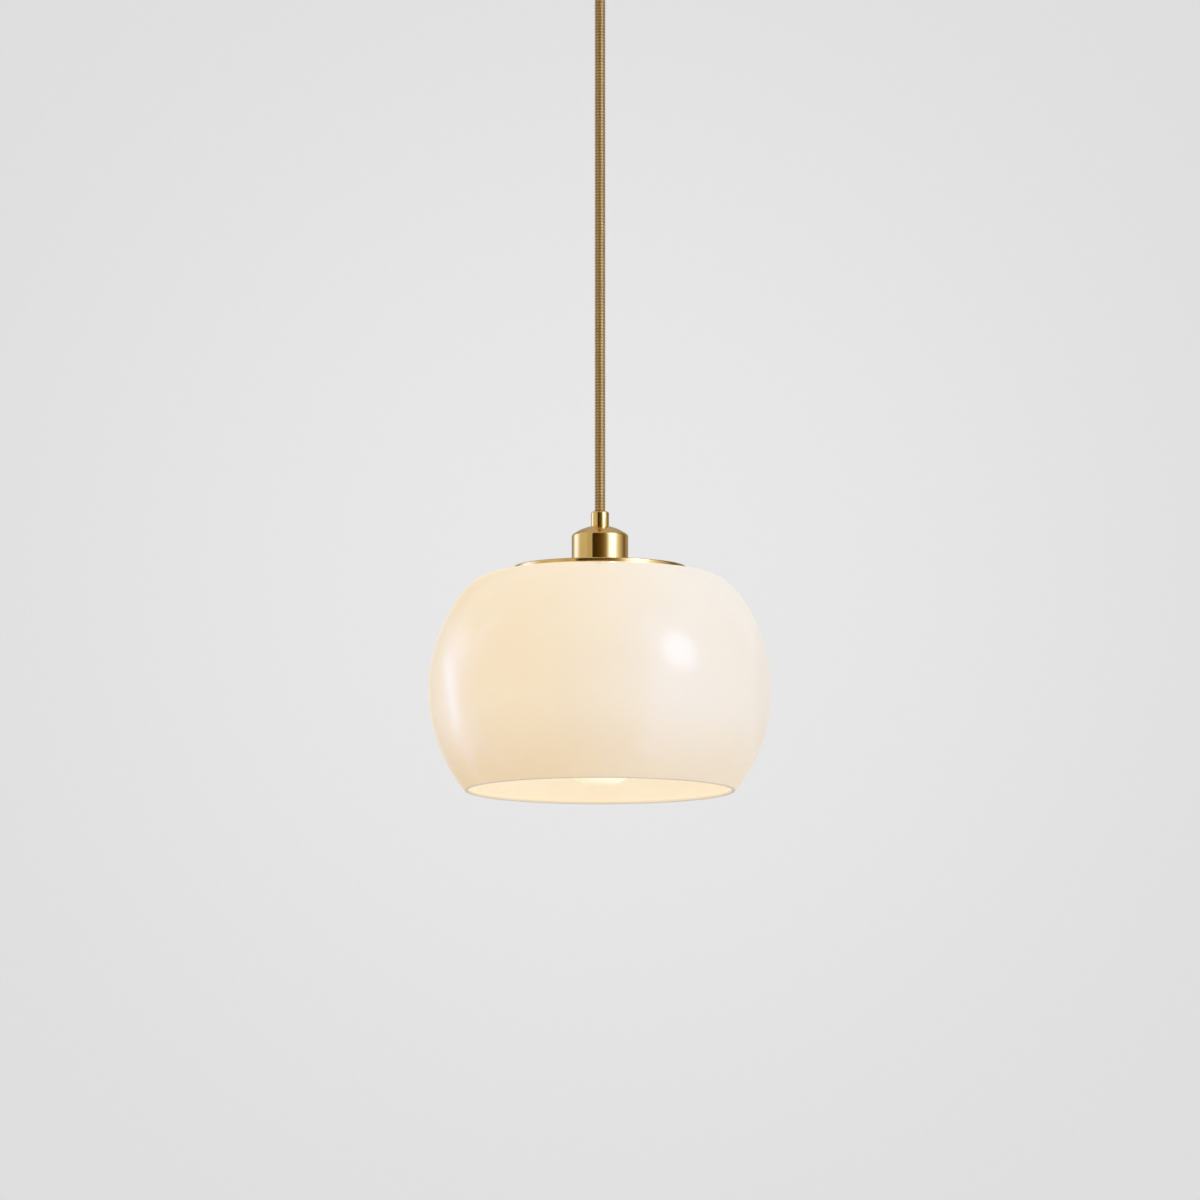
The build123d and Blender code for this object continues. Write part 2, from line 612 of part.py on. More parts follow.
CAP_THREAD_LOW = CAP_UNDER + 3.9
SHELL_THREAD_LOW = CAP_THREAD_LOW + PITCH / 2
with BuildPart() as thread_shell:
    with BuildSketch(Plane.XY.offset(HOLDER_MOUTH + 1.8)):
        Circle(SHELL_RADIUS)
        Circle(SHELL_BORE, mode=Mode.SUBTRACT)
    extrude(amount=INSERT_UNDER - HOLDER_MOUTH - 1.8)
    with BuildLine() as shell_helix:
        Helix(PITCH, PITCH * SHELL_THREAD_TURNS, SHELL_BORE + 0.05, center=(0, 0, SHELL_THREAD_LOW))
    with BuildSketch(Plane(shell_helix.line @ 0, z_dir=shell_helix.line % 0)):
        Circle(SHELL_ROPE)
    sweep(path=shell_helix.line, is_frenet=True)
save(thread_shell.part, "thread_shell")

# The cord's lower end inside the lamp, and its three conductors
with BuildPart() as cord_tail:
    with BuildSketch(Plane.XY.offset(JACKET_END)):
        Circle(CORD_RADIUS)
    extrude(amount=LOWER_PIVOT - KNUCKLE_RADIUS - KNUCKLE_GAP - JACKET_END)
save(cord_tail.part, "cord_tail")

for label, side in (("holder_core_live", 1), ("holder_core_neutral", -1)):
    holder_core = core(
        (side * 1.3, side * 1.1, JACKET_END),
        (side * 1.3, side * 1.1, JACKET_END - 3.2),
        (side * TERMINAL_X, side * 1.1, JACKET_END - 6.0),
        (side * TERMINAL_X, side * 1.1, TERMINAL_TOP + 0.1),
        bend=1.4,
    )
    save(holder_core, label)

earth_core = core(
    (-1.2, 1.9, JACKET_END),
    (-1.2, 1.9, JACKET_END - 2.6),
    (-1.2, 8.3, JACKET_END - 2.6),
    (-1.2, 8.3, DOME_TOP - 7.6),
    bend=1.3,
)
save(earth_core, "holder_core_earth")

with BuildPart() as earth_tag:
    with BuildSketch(Plane.XY.offset(DOME_TOP - 6.1)):
        Circle(7.2)
        Circle(NUT_BORE, mode=Mode.SUBTRACT)
    extrude(amount=0.9)
    with BuildSketch(Plane.XY.offset(DOME_TOP - 8.6)):
        with Locations((-1.2, 6.65)):
            Rectangle(3, 1.0)
    extrude(amount=3.4)
save(earth_tag.part, "earth_tag")

# ---- A60 bulb -----------------------------------------------------------------------------------------
globe = (0, BULB_CENTRE)
neck_arc = (BULB_RADIUS * cos(radians(BULB_SEAM_ANGLE)) - BULB_NECK) / (1 - cos(radians(BULB_SEAM_ANGLE)))
neck = on_arc(globe, BULB_RADIUS + neck_arc, BULB_SEAM_ANGLE)
NECK_TURN = BULB_SEAM_ANGLE
with BuildPart() as bulb_globe:
    with BuildSketch(Plane.XZ):
        with BuildLine():
            CenterArc(globe, BULB_RADIUS, -90, 90 + BULB_SEAM_ANGLE)
            Line(
                on_arc(globe, BULB_RADIUS, BULB_SEAM_ANGLE),
                on_arc(globe, BULB_RADIUS - BULB_WALL, BULB_SEAM_ANGLE),
            )
            CenterArc(globe, BULB_RADIUS - BULB_WALL, BULB_SEAM_ANGLE, -90 - BULB_SEAM_ANGLE)
            Line((0, BULB_CENTRE - BULB_RADIUS + BULB_WALL), (0, BULB_CENTRE - BULB_RADIUS))
        make_face()
    revolve(axis=Axis.Z)
save(bulb_globe.part, "bulb_globe")

with BuildPart() as bulb_housing:
    with BuildSketch(Plane.XZ):
        with BuildLine():
            CenterArc(neck, neck_arc, 180 + NECK_TURN, -NECK_TURN)
            Line((BULB_NECK, neck[1]), (BULB_NECK, CAP_UNDER))
            Line((BULB_NECK, CAP_UNDER), (BULB_NECK - BULB_WALL, CAP_UNDER))
            Line((BULB_NECK - BULB_WALL, CAP_UNDER), (BULB_NECK - BULB_WALL, neck[1]))
            CenterArc(neck, neck_arc + BULB_WALL, 180, NECK_TURN)
            Line(
                on_arc(neck, neck_arc + BULB_WALL, 180 + NECK_TURN),
                on_arc(neck, neck_arc, 180 + NECK_TURN),
            )
        make_face()
    revolve(axis=Axis.Z)
save(bulb_housing.part, "bulb_housing")

with BuildPart() as bulb_cap:
    with BuildSketch(Plane.XY.offset(CAP_UNDER)):
        Circle(CAP_RADIUS)
        Circle(CAP_BORE, mode=Mode.SUBTRACT)
    extrude(amount=CAP_TOP - CAP_UNDER)
    with BuildSketch(Plane.XY.offset(CAP_UNDER)):
        Circle(CAP_RADIUS + 1.1)
        Circle(CAP_BORE, mode=Mode.SUBTRACT)
    extrude(amount=1.8)
    with BuildLine() as cap_helix:
        Helix(PITCH, PITCH * CAP_THREAD_TURNS, CAP_RADIUS + 0.05, center=(0, 0, CAP_THREAD_LOW))
    with BuildSketch(Plane(cap_helix.line @ 0, z_dir=cap_helix.line % 0)):
        Circle(CAP_ROPE)
    sweep(path=cap_helix.line, is_frenet=True)
save(bulb_cap.part, "bulb_cap")

bulb_insulator = turned(
    [
        (0, CAP_TOP),
        (CAP_BORE, CAP_TOP),
        (CAP_BORE + 0.6, CAP_TOP + 0.6),
        (5.2, CAP_TOP + CAP_INSULATOR),
        (0, CAP_TOP + CAP_INSULATOR),
    ]
)
save(bulb_insulator, "bulb_insulator")
bulb_tip = turned(
    [
        (0, CAP_TOP + CAP_INSULATOR),
        (4.6, CAP_TOP + CAP_INSULATOR),
        (4.2, TIP_Z - 0.6),
        (2.6, TIP_Z),
        (0, TIP_Z),
    ]
)
save(bulb_tip, "bulb_tip")

seam_z = BULB_CENTRE + (BULB_RADIUS - BULB_WALL) * sin(radians(BULB_SEAM_ANGLE))
board_radius = (BULB_RADIUS - BULB_WALL) * cos(radians(BULB_SEAM_ANGLE)) - 0.4
with BuildPart() as led_board:
    with BuildSketch(Plane.XY.offset(seam_z - 1.0)):
        Circle(board_radius)
    extrude(amount=1.3)
save(led_board.part, "led_board")
with BuildPart() as led_chips:
    with BuildSketch(Plane.XY.offset(seam_z - 1.8)):
        with PolarLocations(board_radius * 0.68, 12):
            Rectangle(2.8, 3.5)
    extrude(amount=0.8)
save(led_chips.part, "led_chips")
with BuildPart() as led_driver:
    with BuildSketch(Plane.XY.offset(seam_z + 0.3)):
        Rectangle(1.6, 17)
    extrude(amount=27)
    with BuildSketch(Plane.YZ.offset(0.8)):
        with Locations((0, seam_z + 16), (3, seam_z + 7)):
            Rectangle(7, 6)
    extrude(amount=5.5)
save(led_driver.part, "led_driver")

print("upper pivot", UPPER_PIVOT, "lower pivot", round(LOWER_PIVOT, 2), "glass top", round(GLASS_TOP, 2))
print("disc top", round(DISC_TOP, 2), "cup top", round(CUP_TOP, 2), "bulb tip", round(TIP_Z, 2))
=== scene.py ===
"""Looks of the pendant ceiling light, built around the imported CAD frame. Metres, +Z up, front to -Y."""

import math

import bmesh
import bpy
import numpy as np
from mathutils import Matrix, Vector


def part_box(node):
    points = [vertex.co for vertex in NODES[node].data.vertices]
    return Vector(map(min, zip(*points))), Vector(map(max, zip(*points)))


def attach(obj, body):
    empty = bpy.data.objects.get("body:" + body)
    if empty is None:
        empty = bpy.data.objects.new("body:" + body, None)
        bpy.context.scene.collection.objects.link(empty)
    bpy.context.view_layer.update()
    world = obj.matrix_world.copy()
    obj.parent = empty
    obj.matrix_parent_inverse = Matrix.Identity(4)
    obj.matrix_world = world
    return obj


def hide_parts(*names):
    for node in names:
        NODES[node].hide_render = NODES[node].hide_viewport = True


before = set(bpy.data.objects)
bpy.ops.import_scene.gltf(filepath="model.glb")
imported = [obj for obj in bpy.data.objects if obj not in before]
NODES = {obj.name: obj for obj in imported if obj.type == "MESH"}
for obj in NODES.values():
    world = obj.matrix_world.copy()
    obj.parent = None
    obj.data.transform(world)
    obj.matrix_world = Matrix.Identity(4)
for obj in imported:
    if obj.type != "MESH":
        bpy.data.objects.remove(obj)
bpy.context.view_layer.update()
MM = 0.001
TAU = 2 * math.pi
ON_AXIS = 1e-7  # a point nearer the turning axis than this is on it


def low(node):
    """A CAD node's lowest level."""
    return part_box(node)[0].z


def high(node):
    """A CAD node's highest level."""
    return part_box(node)[1].z


# ---- levels and sizes, from the CAD nodes --------------------------------------------------------
RIM_Z = low("glass_shade")
GLASS_TOP = high("glass_shade")
DISC_TOP = high("cover_disc")
CUP_TOP = high("socket_cup")
UPPER_PIVOT = low("canopy_grip")
LOWER_PIVOT = high("lamp_grip")
BULB_LOW = low("bulb_globe")

# The cord's route from the canopy's grip to the lamp's: the CAD's two ends, with points between.
ROUTE = [
    (0.0, 0.0, UPPER_PIVOT),
    (0.0, 0.0, -0.1122),
    (0.0, 0.0, -0.1875),
    (0.0, 0.0, -0.2628),
    (0.0, 0.0, -0.3381),
    (0.0, 0.0, LOWER_PIVOT),
]
CORD_RADIUS = 3.5 * MM
CORD_SWELL, TAIL_SWELL = 0.2 * MM, 0.05 * MM  # how far the crowns stand outside it, in view and in the grips


# ---- node trees ----------------------------------------------------------------------------------
class Graph:
    """Short calls that build one shader node tree."""

    def __init__(self, tree):
        self.tree = tree
        tree.nodes.clear()

    def put(self, socket, value):
        """A socket fed by another one, or set to a constant."""
        if isinstance(value, bpy.types.NodeSocket):
            self.tree.links.new(value, socket)
        else:
            socket.default_value = value

    def node(self, kind, inputs=None, **settings):
        """A new node with its sockets filled from inputs and its properties from settings."""
        made = self.tree.nodes.new("ShaderNode" + kind)
        for name, value in settings.items():
            setattr(made, name, value)
        for name, value in (inputs or {}).items():
            self.put(made.inputs[name], value)
        return made

    def math(self, operation, *values):
        made = self.node("Math", operation=operation)
        for socket, value in zip(made.inputs, values):
            self.put(socket, value)
        return made.outputs[0]

    def add(self, a, b):
        return self.math("ADD", a, b)

    def times(self, a, b):
        return self.math("MULTIPLY", a, b)

    def span(self, value, start, end, to_start=0.0, to_end=1.0):
        """value mapped smoothly from start..end to to_start..to_end, and held beyond."""
        made = self.node("MapRange", interpolation_type="SMOOTHSTEP")
        for name, number in zip(
            ("Value", "From Min", "From Max", "To Min", "To Max"),
            (value, start, end, to_start, to_end),
        ):
            self.put(made.inputs[name], number)
        return made.outputs["Result"]

    def fade(self, value, start, end):
        """1 up to start, falling smoothly to 0 at end."""
        return self.span(value, start, end, 1.0, 0.0)

    def spread(self, noise, low=0.0, high=1.0):
        """The middle of a noise, where nearly all of it lies, spread over low..high."""
        return self.span(noise, 0.3, 0.7, low, high)

    def length(self, a, b):
        """The length of two parts at right angles."""
        return self.math("SQRT", self.add(self.times(a, a), self.times(b, b)))

    def where(self, kind="Object"):
        """The place being shaded, in the piece's own frame unless told otherwise."""
        return self.node("TexCoord").outputs[kind]

    def parts(self, vector):
        return self.node("SeparateXYZ", {0: vector}).outputs

    def vector(self, x, y, z):
        return self.node("CombineXYZ", {0: x, 1: y, 2: z}).outputs[0]

    def noise(self, vector, scale, detail=3.0, roughness=0.5, distortion=0.0):
        return self.node(
            "TexNoise",
            {
                "Vector": vector,
                "Scale": scale,
                "Detail": detail,
                "Roughness": roughness,
                "Distortion": distortion,
            },
        ).outputs["Fac"]

    def mix(self, share, a, b, blend="MIX"):
        """Two colours blended: a at share 0, and b mixed, added, taken off or multiplied in at 1."""
        made = self.node("Mix", data_type="RGBA", blend_type=blend)
        self.put(made.inputs["Factor"], share)
        self.put(made.inputs[6], a if isinstance(a, bpy.types.NodeSocket) else (*a, 1.0))
        self.put(made.inputs[7], b if isinstance(b, bpy.types.NodeSocket) else (*b, 1.0))
        return made.outputs[2]

    def ramp(self, value, stops):
        """A colour for a value, from (position, colour) stops."""
        made = self.node("ValToRGB", {0: value})
        points = made.color_ramp.elements
        while len(points) < len(stops):
            points.new(0.5)
        for point, (position, colour) in zip(points, stops):
            point.position = position
            point.color = (*colour, 1.0)
        return made.outputs["Color"]

    def bump(self, height, distance):
        """A normal bent by a relief that stands that distance high."""
        inputs = {"Height": height, "Distance": distance, "Strength": 1.0}
        return self.node("Bump", inputs).outputs["Normal"]

    def surface(self, shader):
        """The shader as the material's surface."""
        out = self.node("OutputMaterial")
        self.put(out.inputs["Surface"], shader)


def material(name):
    """A new material and the graph of its node tree."""
    made = bpy.data.materials.new(name)
    made.use_nodes = True
    return made, Graph(made.node_tree)


def principled(g, **inputs):
    """A Principled shader; underscores in the names stand for spaces."""
    return g.node("BsdfPrincipled", {k.replace("_", " "): v for k, v in inputs.items()})


# ---- materials -----------------------------------------------------------------------------------
def brass(name, light, dark, roughness):
    """Satin brass spun on a lathe: fine rings about the axis that blur reflections across them, with
    faint hairlines, smudges and a thin lacquer."""
    made, g = material(name)
    place = g.where()
    x, y, z = g.parts(place)
    radius = g.length(x, y)
    rings = g.vector(radius, z, g.times(x, 0.01))
    fine = g.noise(rings, 5200.0, 2.0, 0.6)
    broad = g.noise(rings, 900.0, 3.0, 0.55)
    smudge = g.noise(place, 38.0, 4.0, 0.6, 0.6)
    hairline = g.noise(g.vector(g.times(x, 6.0), y, g.times(z, 0.3)), 700.0, 2.0, 0.7)
    colour = g.mix(g.span(smudge, 0.3, 0.75), light, dark)
    rough = g.add(
        g.times(g.span(smudge, 0.45, 0.8), 0.04),
        g.add(g.times(broad, 0.05), roughness - 0.025),
    )
    rough = g.add(rough, g.span(hairline, 0.68, 0.8, 0.0, 0.06))
    relief = g.add(g.times(fine, 0.35), g.times(broad, 0.65))
    shader = principled(
        g,
        Base_Color=colour,
        Metallic=1.0,
        Roughness=rough,
        Anisotropic=0.95,
        Anisotropic_Rotation=0.25,
        Tangent=g.node("Tangent", direction_type="RADIAL", axis="Z").outputs[0],
        Normal=g.bump(relief, 0.003 * MM),
        Coat_Weight=0.06,
        Coat_Roughness=0.12,
    )
    g.surface(shader.outputs[0])
    return made


def metal(name, light, dark, roughness, grain=900.0, stretch=(1.0, 1.0, 1.0), relief=0.01 * MM):
    """Plated, turned or pressed metal with a mottled plating and a directional grain."""
    made, g = material(name)
    x, y, z = g.parts(g.where())
    place = g.vector(g.times(x, stretch[0]), g.times(y, stretch[1]), g.times(z, stretch[2]))
    mottle = g.noise(g.where(), 180.0, 5.0, 0.65, 0.8)
    lines = g.noise(place, grain, 3.0, 0.6)
    colour = g.mix(g.spread(mottle), light, dark)
    rough = g.add(g.times(lines, 0.12), g.spread(mottle, roughness - 0.08, roughness + 0.06))
    shader = principled(
        g, Base_Color=colour, Metallic=1.0, Roughness=rough, Normal=g.bump(lines, relief)
    )
    g.surface(shader.outputs[0])
    return made


def thread_metal(name, light, dark, pitch, depth):
    """Metal tube with a screw thread cut as relief round the Z axis, its grooves darkened by painted shade.
    """
    made, g = material(name)
    x, y, z = g.parts(g.where())
    turn = g.math("ARCTAN2", y, x)
    phase = g.add(g.times(z, TAU / pitch), g.times(turn, -1.0))
    ridge = g.math("ABSOLUTE", g.math("SINE", g.times(phase, 0.5)))
    mottle = g.noise(g.where(), 220.0, 4.0, 0.6)
    # Painted shade darkens the thread's grooves.
    colour = g.mix(g.span(ridge, 0.1, 0.7), dark, light)
    shader = principled(
        g,
        Base_Color=colour,
        Metallic=1.0,
        Roughness=g.spread(mottle, 0.26, 0.4),
        Normal=g.bump(ridge, depth),
    )
    g.surface(shader.outputs[0])
    return made


def moulded(name, light, dark, roughness, grain=1500.0, relief=0.02 * MM, soft=0.0, coat=0.0):
    """Moulded plastic, rubber or glaze: a fine skin, faint flow marks and rubbed patches."""
    made, g = material(name)
    place = g.where()
    flow = g.noise(place, 60.0, 4.0, 0.6, 1.2)
    skin = g.noise(place, grain, 2.0, 0.6)
    colour = g.mix(g.spread(flow), light, dark)
    rough = g.add(g.times(skin, 0.08), g.spread(flow, roughness - 0.06, roughness + 0.05))
    shader = principled(
        g,
        Base_Color=colour,
        Roughness=rough,
        Normal=g.bump(g.add(g.times(skin, 0.6), g.times(flow, 0.4)), relief),
        Subsurface_Weight=soft,
        Subsurface_Radius=(2.0 * MM, 1.6 * MM, 1.2 * MM),
        Subsurface_Scale=1.0,
        Coat_Weight=coat,
        Coat_Roughness=0.05,
    )
    g.surface(shader.outputs[0])
    return made


def insulated(name, base, stripe=None):
    """A conductor's plastic jacket, with a second colour in a winding stripe on an earth core."""
    made, g = material(name)
    place = g.where()
    x, y, z = g.parts(place)
    flow = g.noise(place, 400.0, 3.0, 0.6)
    colour = g.mix(g.spread(flow), base, [0.8 * c for c in base])
    if stripe:
        turns = g.math("SINE", g.add(g.times(z, 900.0), g.times(g.add(x, y), 1100.0)))
        colour = g.mix(g.span(turns, 0.1, 0.3), colour, stripe)
    rough = g.spread(flow, 0.34, 0.48)
    shader = principled(g, Base_Color=colour, Roughness=rough, Normal=g.bump(flow, 0.02 * MM))
    g.surface(shader.outputs[0])
    return made


# Opal glass: a painted glow stands in for the bulb's light through it, warmer on the left and low down, and
# paler on the right, where it stands in for daylight from that side.
GLOW_WARM = (0.495, 0.375, 0.215)
GLOW_PALE = (0.46, 0.43, 0.41)
GLOW_WARM_LOW = (0.435, 0.29, 0.12)
GLOW_PALE_LOW = (0.44, 0.355, 0.26)
# Painted glow on the inside and at the lip, where painted shade darkens it.
GLOW_INSIDE = (0.25, 0.215, 0.165)
GLOW_LIP = (0.26, 0.19, 0.125)
GLOW_NEAR_LIP = (0.35, 0.27, 0.16)
GLOW_MILK = (0.58, 0.46, 0.30)
LOW_LEVEL = RIM_Z + 62.0 * MM  # from here down the glow turns to its low colours
# Seen from the front, a painted highlight makes the glass cooler and brighter along its left limb, and
# painted shade darkens it along its right one.
LEFT_LIMB, LEFT_LIMB_HIGHLIGHT = (-110.0 * MM, -94.0 * MM), (0.0, 0.025, 0.075)
RIGHT_LIMB, RIGHT_LIMB_SHADE = (104.0 * MM, 115.0 * MM), (0.045, 0.05, 0.055)
# A painted reflection of a window is a bright stroke by the left limb, which leans in as the glass turns
# under.
WINDOW_X, WINDOW_LEAN = -94.37 * MM, 0.143  # its middle at the rim's level, and its lean outwards above
WINDOW_SIDES = (-5.5 * MM, 7.5 * MM)
WINDOW_FOOT = (RIM_Z + 24.0 * MM, RIM_Z + 50.0 * MM)
WINDOW_HEAD = (RIM_Z + 75.0 * MM, RIM_Z + 102.0 * MM)
WINDOW_DEPTH = (-42.0 * MM, -22.0 * MM)  # it stays on the front half
WINDOW_REFLECTION_GAIN = (0.03, 0.08, 0.10)


def painted_window_reflection(g, x, y, z):
    """How strongly the painted window reflection shows at each place of the glass."""
    off_middle = g.add(g.add(x, g.times(z, WINDOW_LEAN)), -WINDOW_X - WINDOW_LEAN * RIM_Z)
    wide = g.times(g.span(off_middle, WINDOW_SIDES[0], 0.0), g.fade(off_middle, 0.0, WINDOW_SIDES[1]))
    tall = g.times(g.span(z, *WINDOW_FOOT), g.fade(z, *WINDOW_HEAD))
    return g.times(g.times(wide, tall), g.fade(y, *WINDOW_DEPTH))


def opal(name, part):
    """Milk glass lit from inside by a painted glow, under a smooth fire-polished skin with slight waves.
    part is outside, inside or lip."""
    made, g = material(name)
    place = g.where()
    x, y, z = g.parts(place)
    cloud = g.noise(place, 16.0, 3.0, 0.5, 0.4)
    milk = g.noise(place, 120.0, 4.0, 0.6)
    wave = g.noise(place, 22.0, 1.0, 0.4)
    tint = g.mix(g.spread(cloud), (0.90, 0.87, 0.82), (0.87, 0.82, 0.75))
    if part == "inside":
        # Inside, the painted glow brightens towards the top and turns warmer near the lip.
        up = g.span(z, RIM_Z, GLASS_TOP)
        glow = g.mix(up, GLOW_INSIDE, [1.1 * c for c in GLOW_INSIDE])
        glow = g.mix(g.span(z, RIM_Z + 1.7 * MM, RIM_Z + 5.0 * MM), GLOW_NEAR_LIP, glow)
    elif part == "lip":
        # The lip's painted glow dims to painted shade at its lowest edge.
        glow = g.mix(g.span(z, RIM_Z + 0.3 * MM, RIM_Z + 0.9 * MM), GLOW_LIP, GLOW_NEAR_LIP)
    else:
        # Outside, the painted glow runs from warm on the left to pale on the right, as daylight from the
        # right would light it, and turns to its low colours near the rim.
        drift = g.add(cloud, -0.5)
        across = g.span(g.add(x, g.times(drift, 50.0 * MM)), -55.0 * MM, 85.0 * MM)
        down = g.span(g.add(z, g.times(drift, 30.0 * MM)), LOW_LEVEL, RIM_Z)
        high_glow = g.mix(across, GLOW_WARM, GLOW_PALE)
        low_glow = g.mix(across, GLOW_WARM_LOW, GLOW_PALE_LOW)
        glow = g.mix(down, high_glow, low_glow)
        glow = g.mix(g.spread(milk, 0.0, 0.06), glow, GLOW_MILK)
        # Painted highlight along the left limb.
        glow = g.mix(g.fade(x, *LEFT_LIMB), glow, LEFT_LIMB_HIGHLIGHT, "ADD")
        # Painted reflection of a window beside the left limb.
        glow = g.mix(painted_window_reflection(g, x, y, z), glow, WINDOW_REFLECTION_GAIN, "ADD")
        # Painted shade along the right limb.
        glow = g.mix(g.span(x, *RIGHT_LIMB), glow, RIGHT_LIMB_SHADE, "SUBTRACT")
    shader = principled(
        g,
        Base_Color=tint,
        Roughness=g.spread(milk, 0.06, 0.12) if part == "outside" else 0.35,
        IOR=1.5,
        Specular_IOR_Level=0.22 if part == "outside" else 0.04,
        Normal=g.bump(wave, 0.12 * MM),
        Subsurface_Weight=0.35,
        Subsurface_Radius=(12.0 * MM, 9.0 * MM, 6.0 * MM),
        Subsurface_Scale=0.6,
        Emission_Color=glow,
        Emission_Strength=1.0,
    )
    g.surface(shader.outputs[0])
    return made


BRAID_CARRIERS = 8  # each way
BRAID_ENDS = 3  # twisted ends in a carrier
BRAID_LAY = 16.8 * MM  # how far a carrier climbs in one turn
BRAID_RELIEF = 0.24 * MM  # from a crown down to the gaps
BRAID_FLATNESS, BRAID_DIVE = 2.6, 0.30  # how flat a crown is, and its share of height where it goes under
BRAID_COLUMNS, BRAID_ROW = 96, 0.21 * MM  # the mesh's steps round the cord and along it
YARN_PALE, YARN_DARK = (1.0, 0.67, 0.28), (0.46, 0.225, 0.04)  # carriers of one way, and of the other
# Random flecks and slow drift in the yarn's tone, and painted shade for the gaps.
YARN_FLECK, YARN_DRIFT, YARN_GAP_SHADE = (0.70, 0.38, 0.09), (0.62, 0.32, 0.09), (0.15, 0.075, 0.02)
EVEN_LIFT = 4000.0  # an even number that keeps the crossing count above zero


def braid(name):
    """Braided gold yarn: each carrier is a few twisted ends, brighter on its crown and darker in the gaps by
    painted shade.
    """
    made, g = material(name)
    u, v, _ = g.parts(g.where("UV"))
    turns = g.times(u, float(BRAID_CARRIERS))
    climb = g.times(v, BRAID_CARRIERS / BRAID_LAY)
    a = g.add(turns, climb)
    b = g.math("SUBTRACT", turns, climb)
    odd = g.math("MODULO", g.add(g.math("FLOOR", a), g.add(g.math("FLOOR", b), EVEN_LIFT)), 2.0)
    across_a = g.math("FRACT", a)
    across_b = g.math("FRACT", b)
    pick = g.math("GREATER_THAN", odd, 0.5)
    other = g.math("SUBTRACT", 1.0, pick)
    across = g.add(g.times(across_a, other), g.times(across_b, pick))
    along = g.add(g.times(across_b, other), g.times(across_a, pick))
    ends = g.math("ABSOLUTE", g.math("SINE", g.times(across, math.pi * BRAID_ENDS)))
    twist = g.math("SINE", g.add(g.times(along, 40.0), g.times(across, 22.0)))
    crown = g.math("SINE", g.times(across, math.pi))
    over = g.math("SINE", g.times(along, math.pi))
    fleck = g.noise(g.vector(g.times(a, 3.0), g.times(b, 3.0), 0.0), 1.0, 2.0, 0.6)
    drift = g.noise(g.vector(g.times(u, 2.0), g.times(v, 60.0), 0.0), 1.0, 3.0, 0.6)
    colour = g.mix(pick, YARN_PALE, YARN_DARK)
    colour = g.mix(g.spread(fleck, 0.0, 0.35), colour, YARN_FLECK)
    colour = g.mix(g.span(drift, 0.3, 0.75, 0.0, 0.35), colour, YARN_DRIFT)
    # Painted shade darkens the gaps between the ends and where a carrier goes under, leaving the crowns
    # bright.
    proud = g.times(g.span(crown, 0.0, 0.45), g.span(over, 0.0, 0.4, 0.45, 1.0))
    colour = g.mix(g.times(g.span(ends, 0.0, 0.5), proud), YARN_GAP_SHADE, colour)
    relief = g.add(g.times(ends, 0.7), g.times(twist, 0.18))
    shader = principled(
        g,
        Base_Color=colour,
        Roughness=g.add(g.spread(fleck, 0.36, 0.46), g.times(pick, 0.08)),
        Specular_IOR_Level=0.1,
        Metallic=0.97,
        Normal=g.bump(relief, 0.08 * MM),
        Sheen_Weight=0.08,
        Sheen_Roughness=0.4,
        Sheen_Tint=(1.0, 0.80, 0.5, 1.0),
    )
    g.surface(shader.outputs[0])
    return made


def lit_diffuser(name):
    """The bulb's frosted dome, lit from inside: brightest just above its tip, and warmer at the very tip,
    up towards its seam and on its left."""
    made, g = material(name)
    place = g.where()
    x, _, z = g.parts(place)
    frost = g.noise(place, 900.0, 3.0, 0.6)
    glow = g.mix(g.span(x, -20.0 * MM, 4.0 * MM), (0.96, 0.80, 0.42), (1.0, 0.98, 0.68))
    glow = g.mix(g.span(z, BULB_LOW, BULB_LOW + 4.0 * MM), (0.95, 0.72, 0.36), glow)
    glow = g.mix(g.span(z, BULB_LOW + 10.0 * MM, BULB_LOW + 50.0 * MM), glow, (1.0, 0.83, 0.54))
    shader = principled(
        g,
        Base_Color=g.mix(g.spread(frost), (0.93, 0.91, 0.86), (0.90, 0.87, 0.80)),
        Roughness=g.spread(frost, 0.30, 0.42),
        Normal=g.bump(frost, 0.02 * MM),
        Emission_Color=glow,
        Emission_Strength=0.6,
    )
    g.surface(shader.outputs[0])
    return made


BRASS = brass("brass_spun", (0.95, 0.63, 0.21), (0.90, 0.58, 0.19), 0.15)
BRASS_PLAIN = metal("brass_turned", (0.80, 0.58, 0.24), (0.70, 0.47, 0.17), 0.32, 1500.0, (0.2, 0.2, 3.0))
ZINC = metal("zinc_plate", (0.66, 0.68, 0.70), (0.52, 0.53, 0.52), 0.34, 700.0, (0.3, 3.0, 1.0))
STEEL = metal("bright_steel", (0.60, 0.60, 0.61), (0.44, 0.44, 0.45), 0.28, 2200.0)
TUBE = thread_metal("tube_thread", (0.66, 0.67, 0.69), (0.34, 0.34, 0.34), 1.0 * MM, 0.5 * MM)
OPAL_OUT = opal("opal_outside", "outside")
OPAL_IN = opal("opal_inside", "inside")
OPAL_LIP = opal("opal_lip", "lip")
BRAID = braid("braided_yarn")
SILICONE = moulded("silicone", (0.86, 0.86, 0.84), (0.78, 0.78, 0.75), 0.5, soft=0.3)
PORCELAIN = moulded(
    "porcelain_glaze", (0.86, 0.86, 0.83), (0.80, 0.79, 0.75), 0.16, 300.0, 0.04 * MM, soft=0.2, coat=0.4
)
BLOCK = moulded("terminal_plastic", (0.82, 0.81, 0.76), (0.74, 0.72, 0.66), 0.46, 2200.0)
BULB_WHITE = moulded(
    "bulb_plastic", (0.86, 0.86, 0.85), (0.80, 0.80, 0.79), 0.3, 2600.0, 0.01 * MM, soft=0.1, coat=0.1
)
BLACK_GLASS = moulded(
    "vitrite", (0.02, 0.017, 0.02), (0.035, 0.03, 0.034), 0.14, 500.0, 0.03 * MM, coat=0.3
)
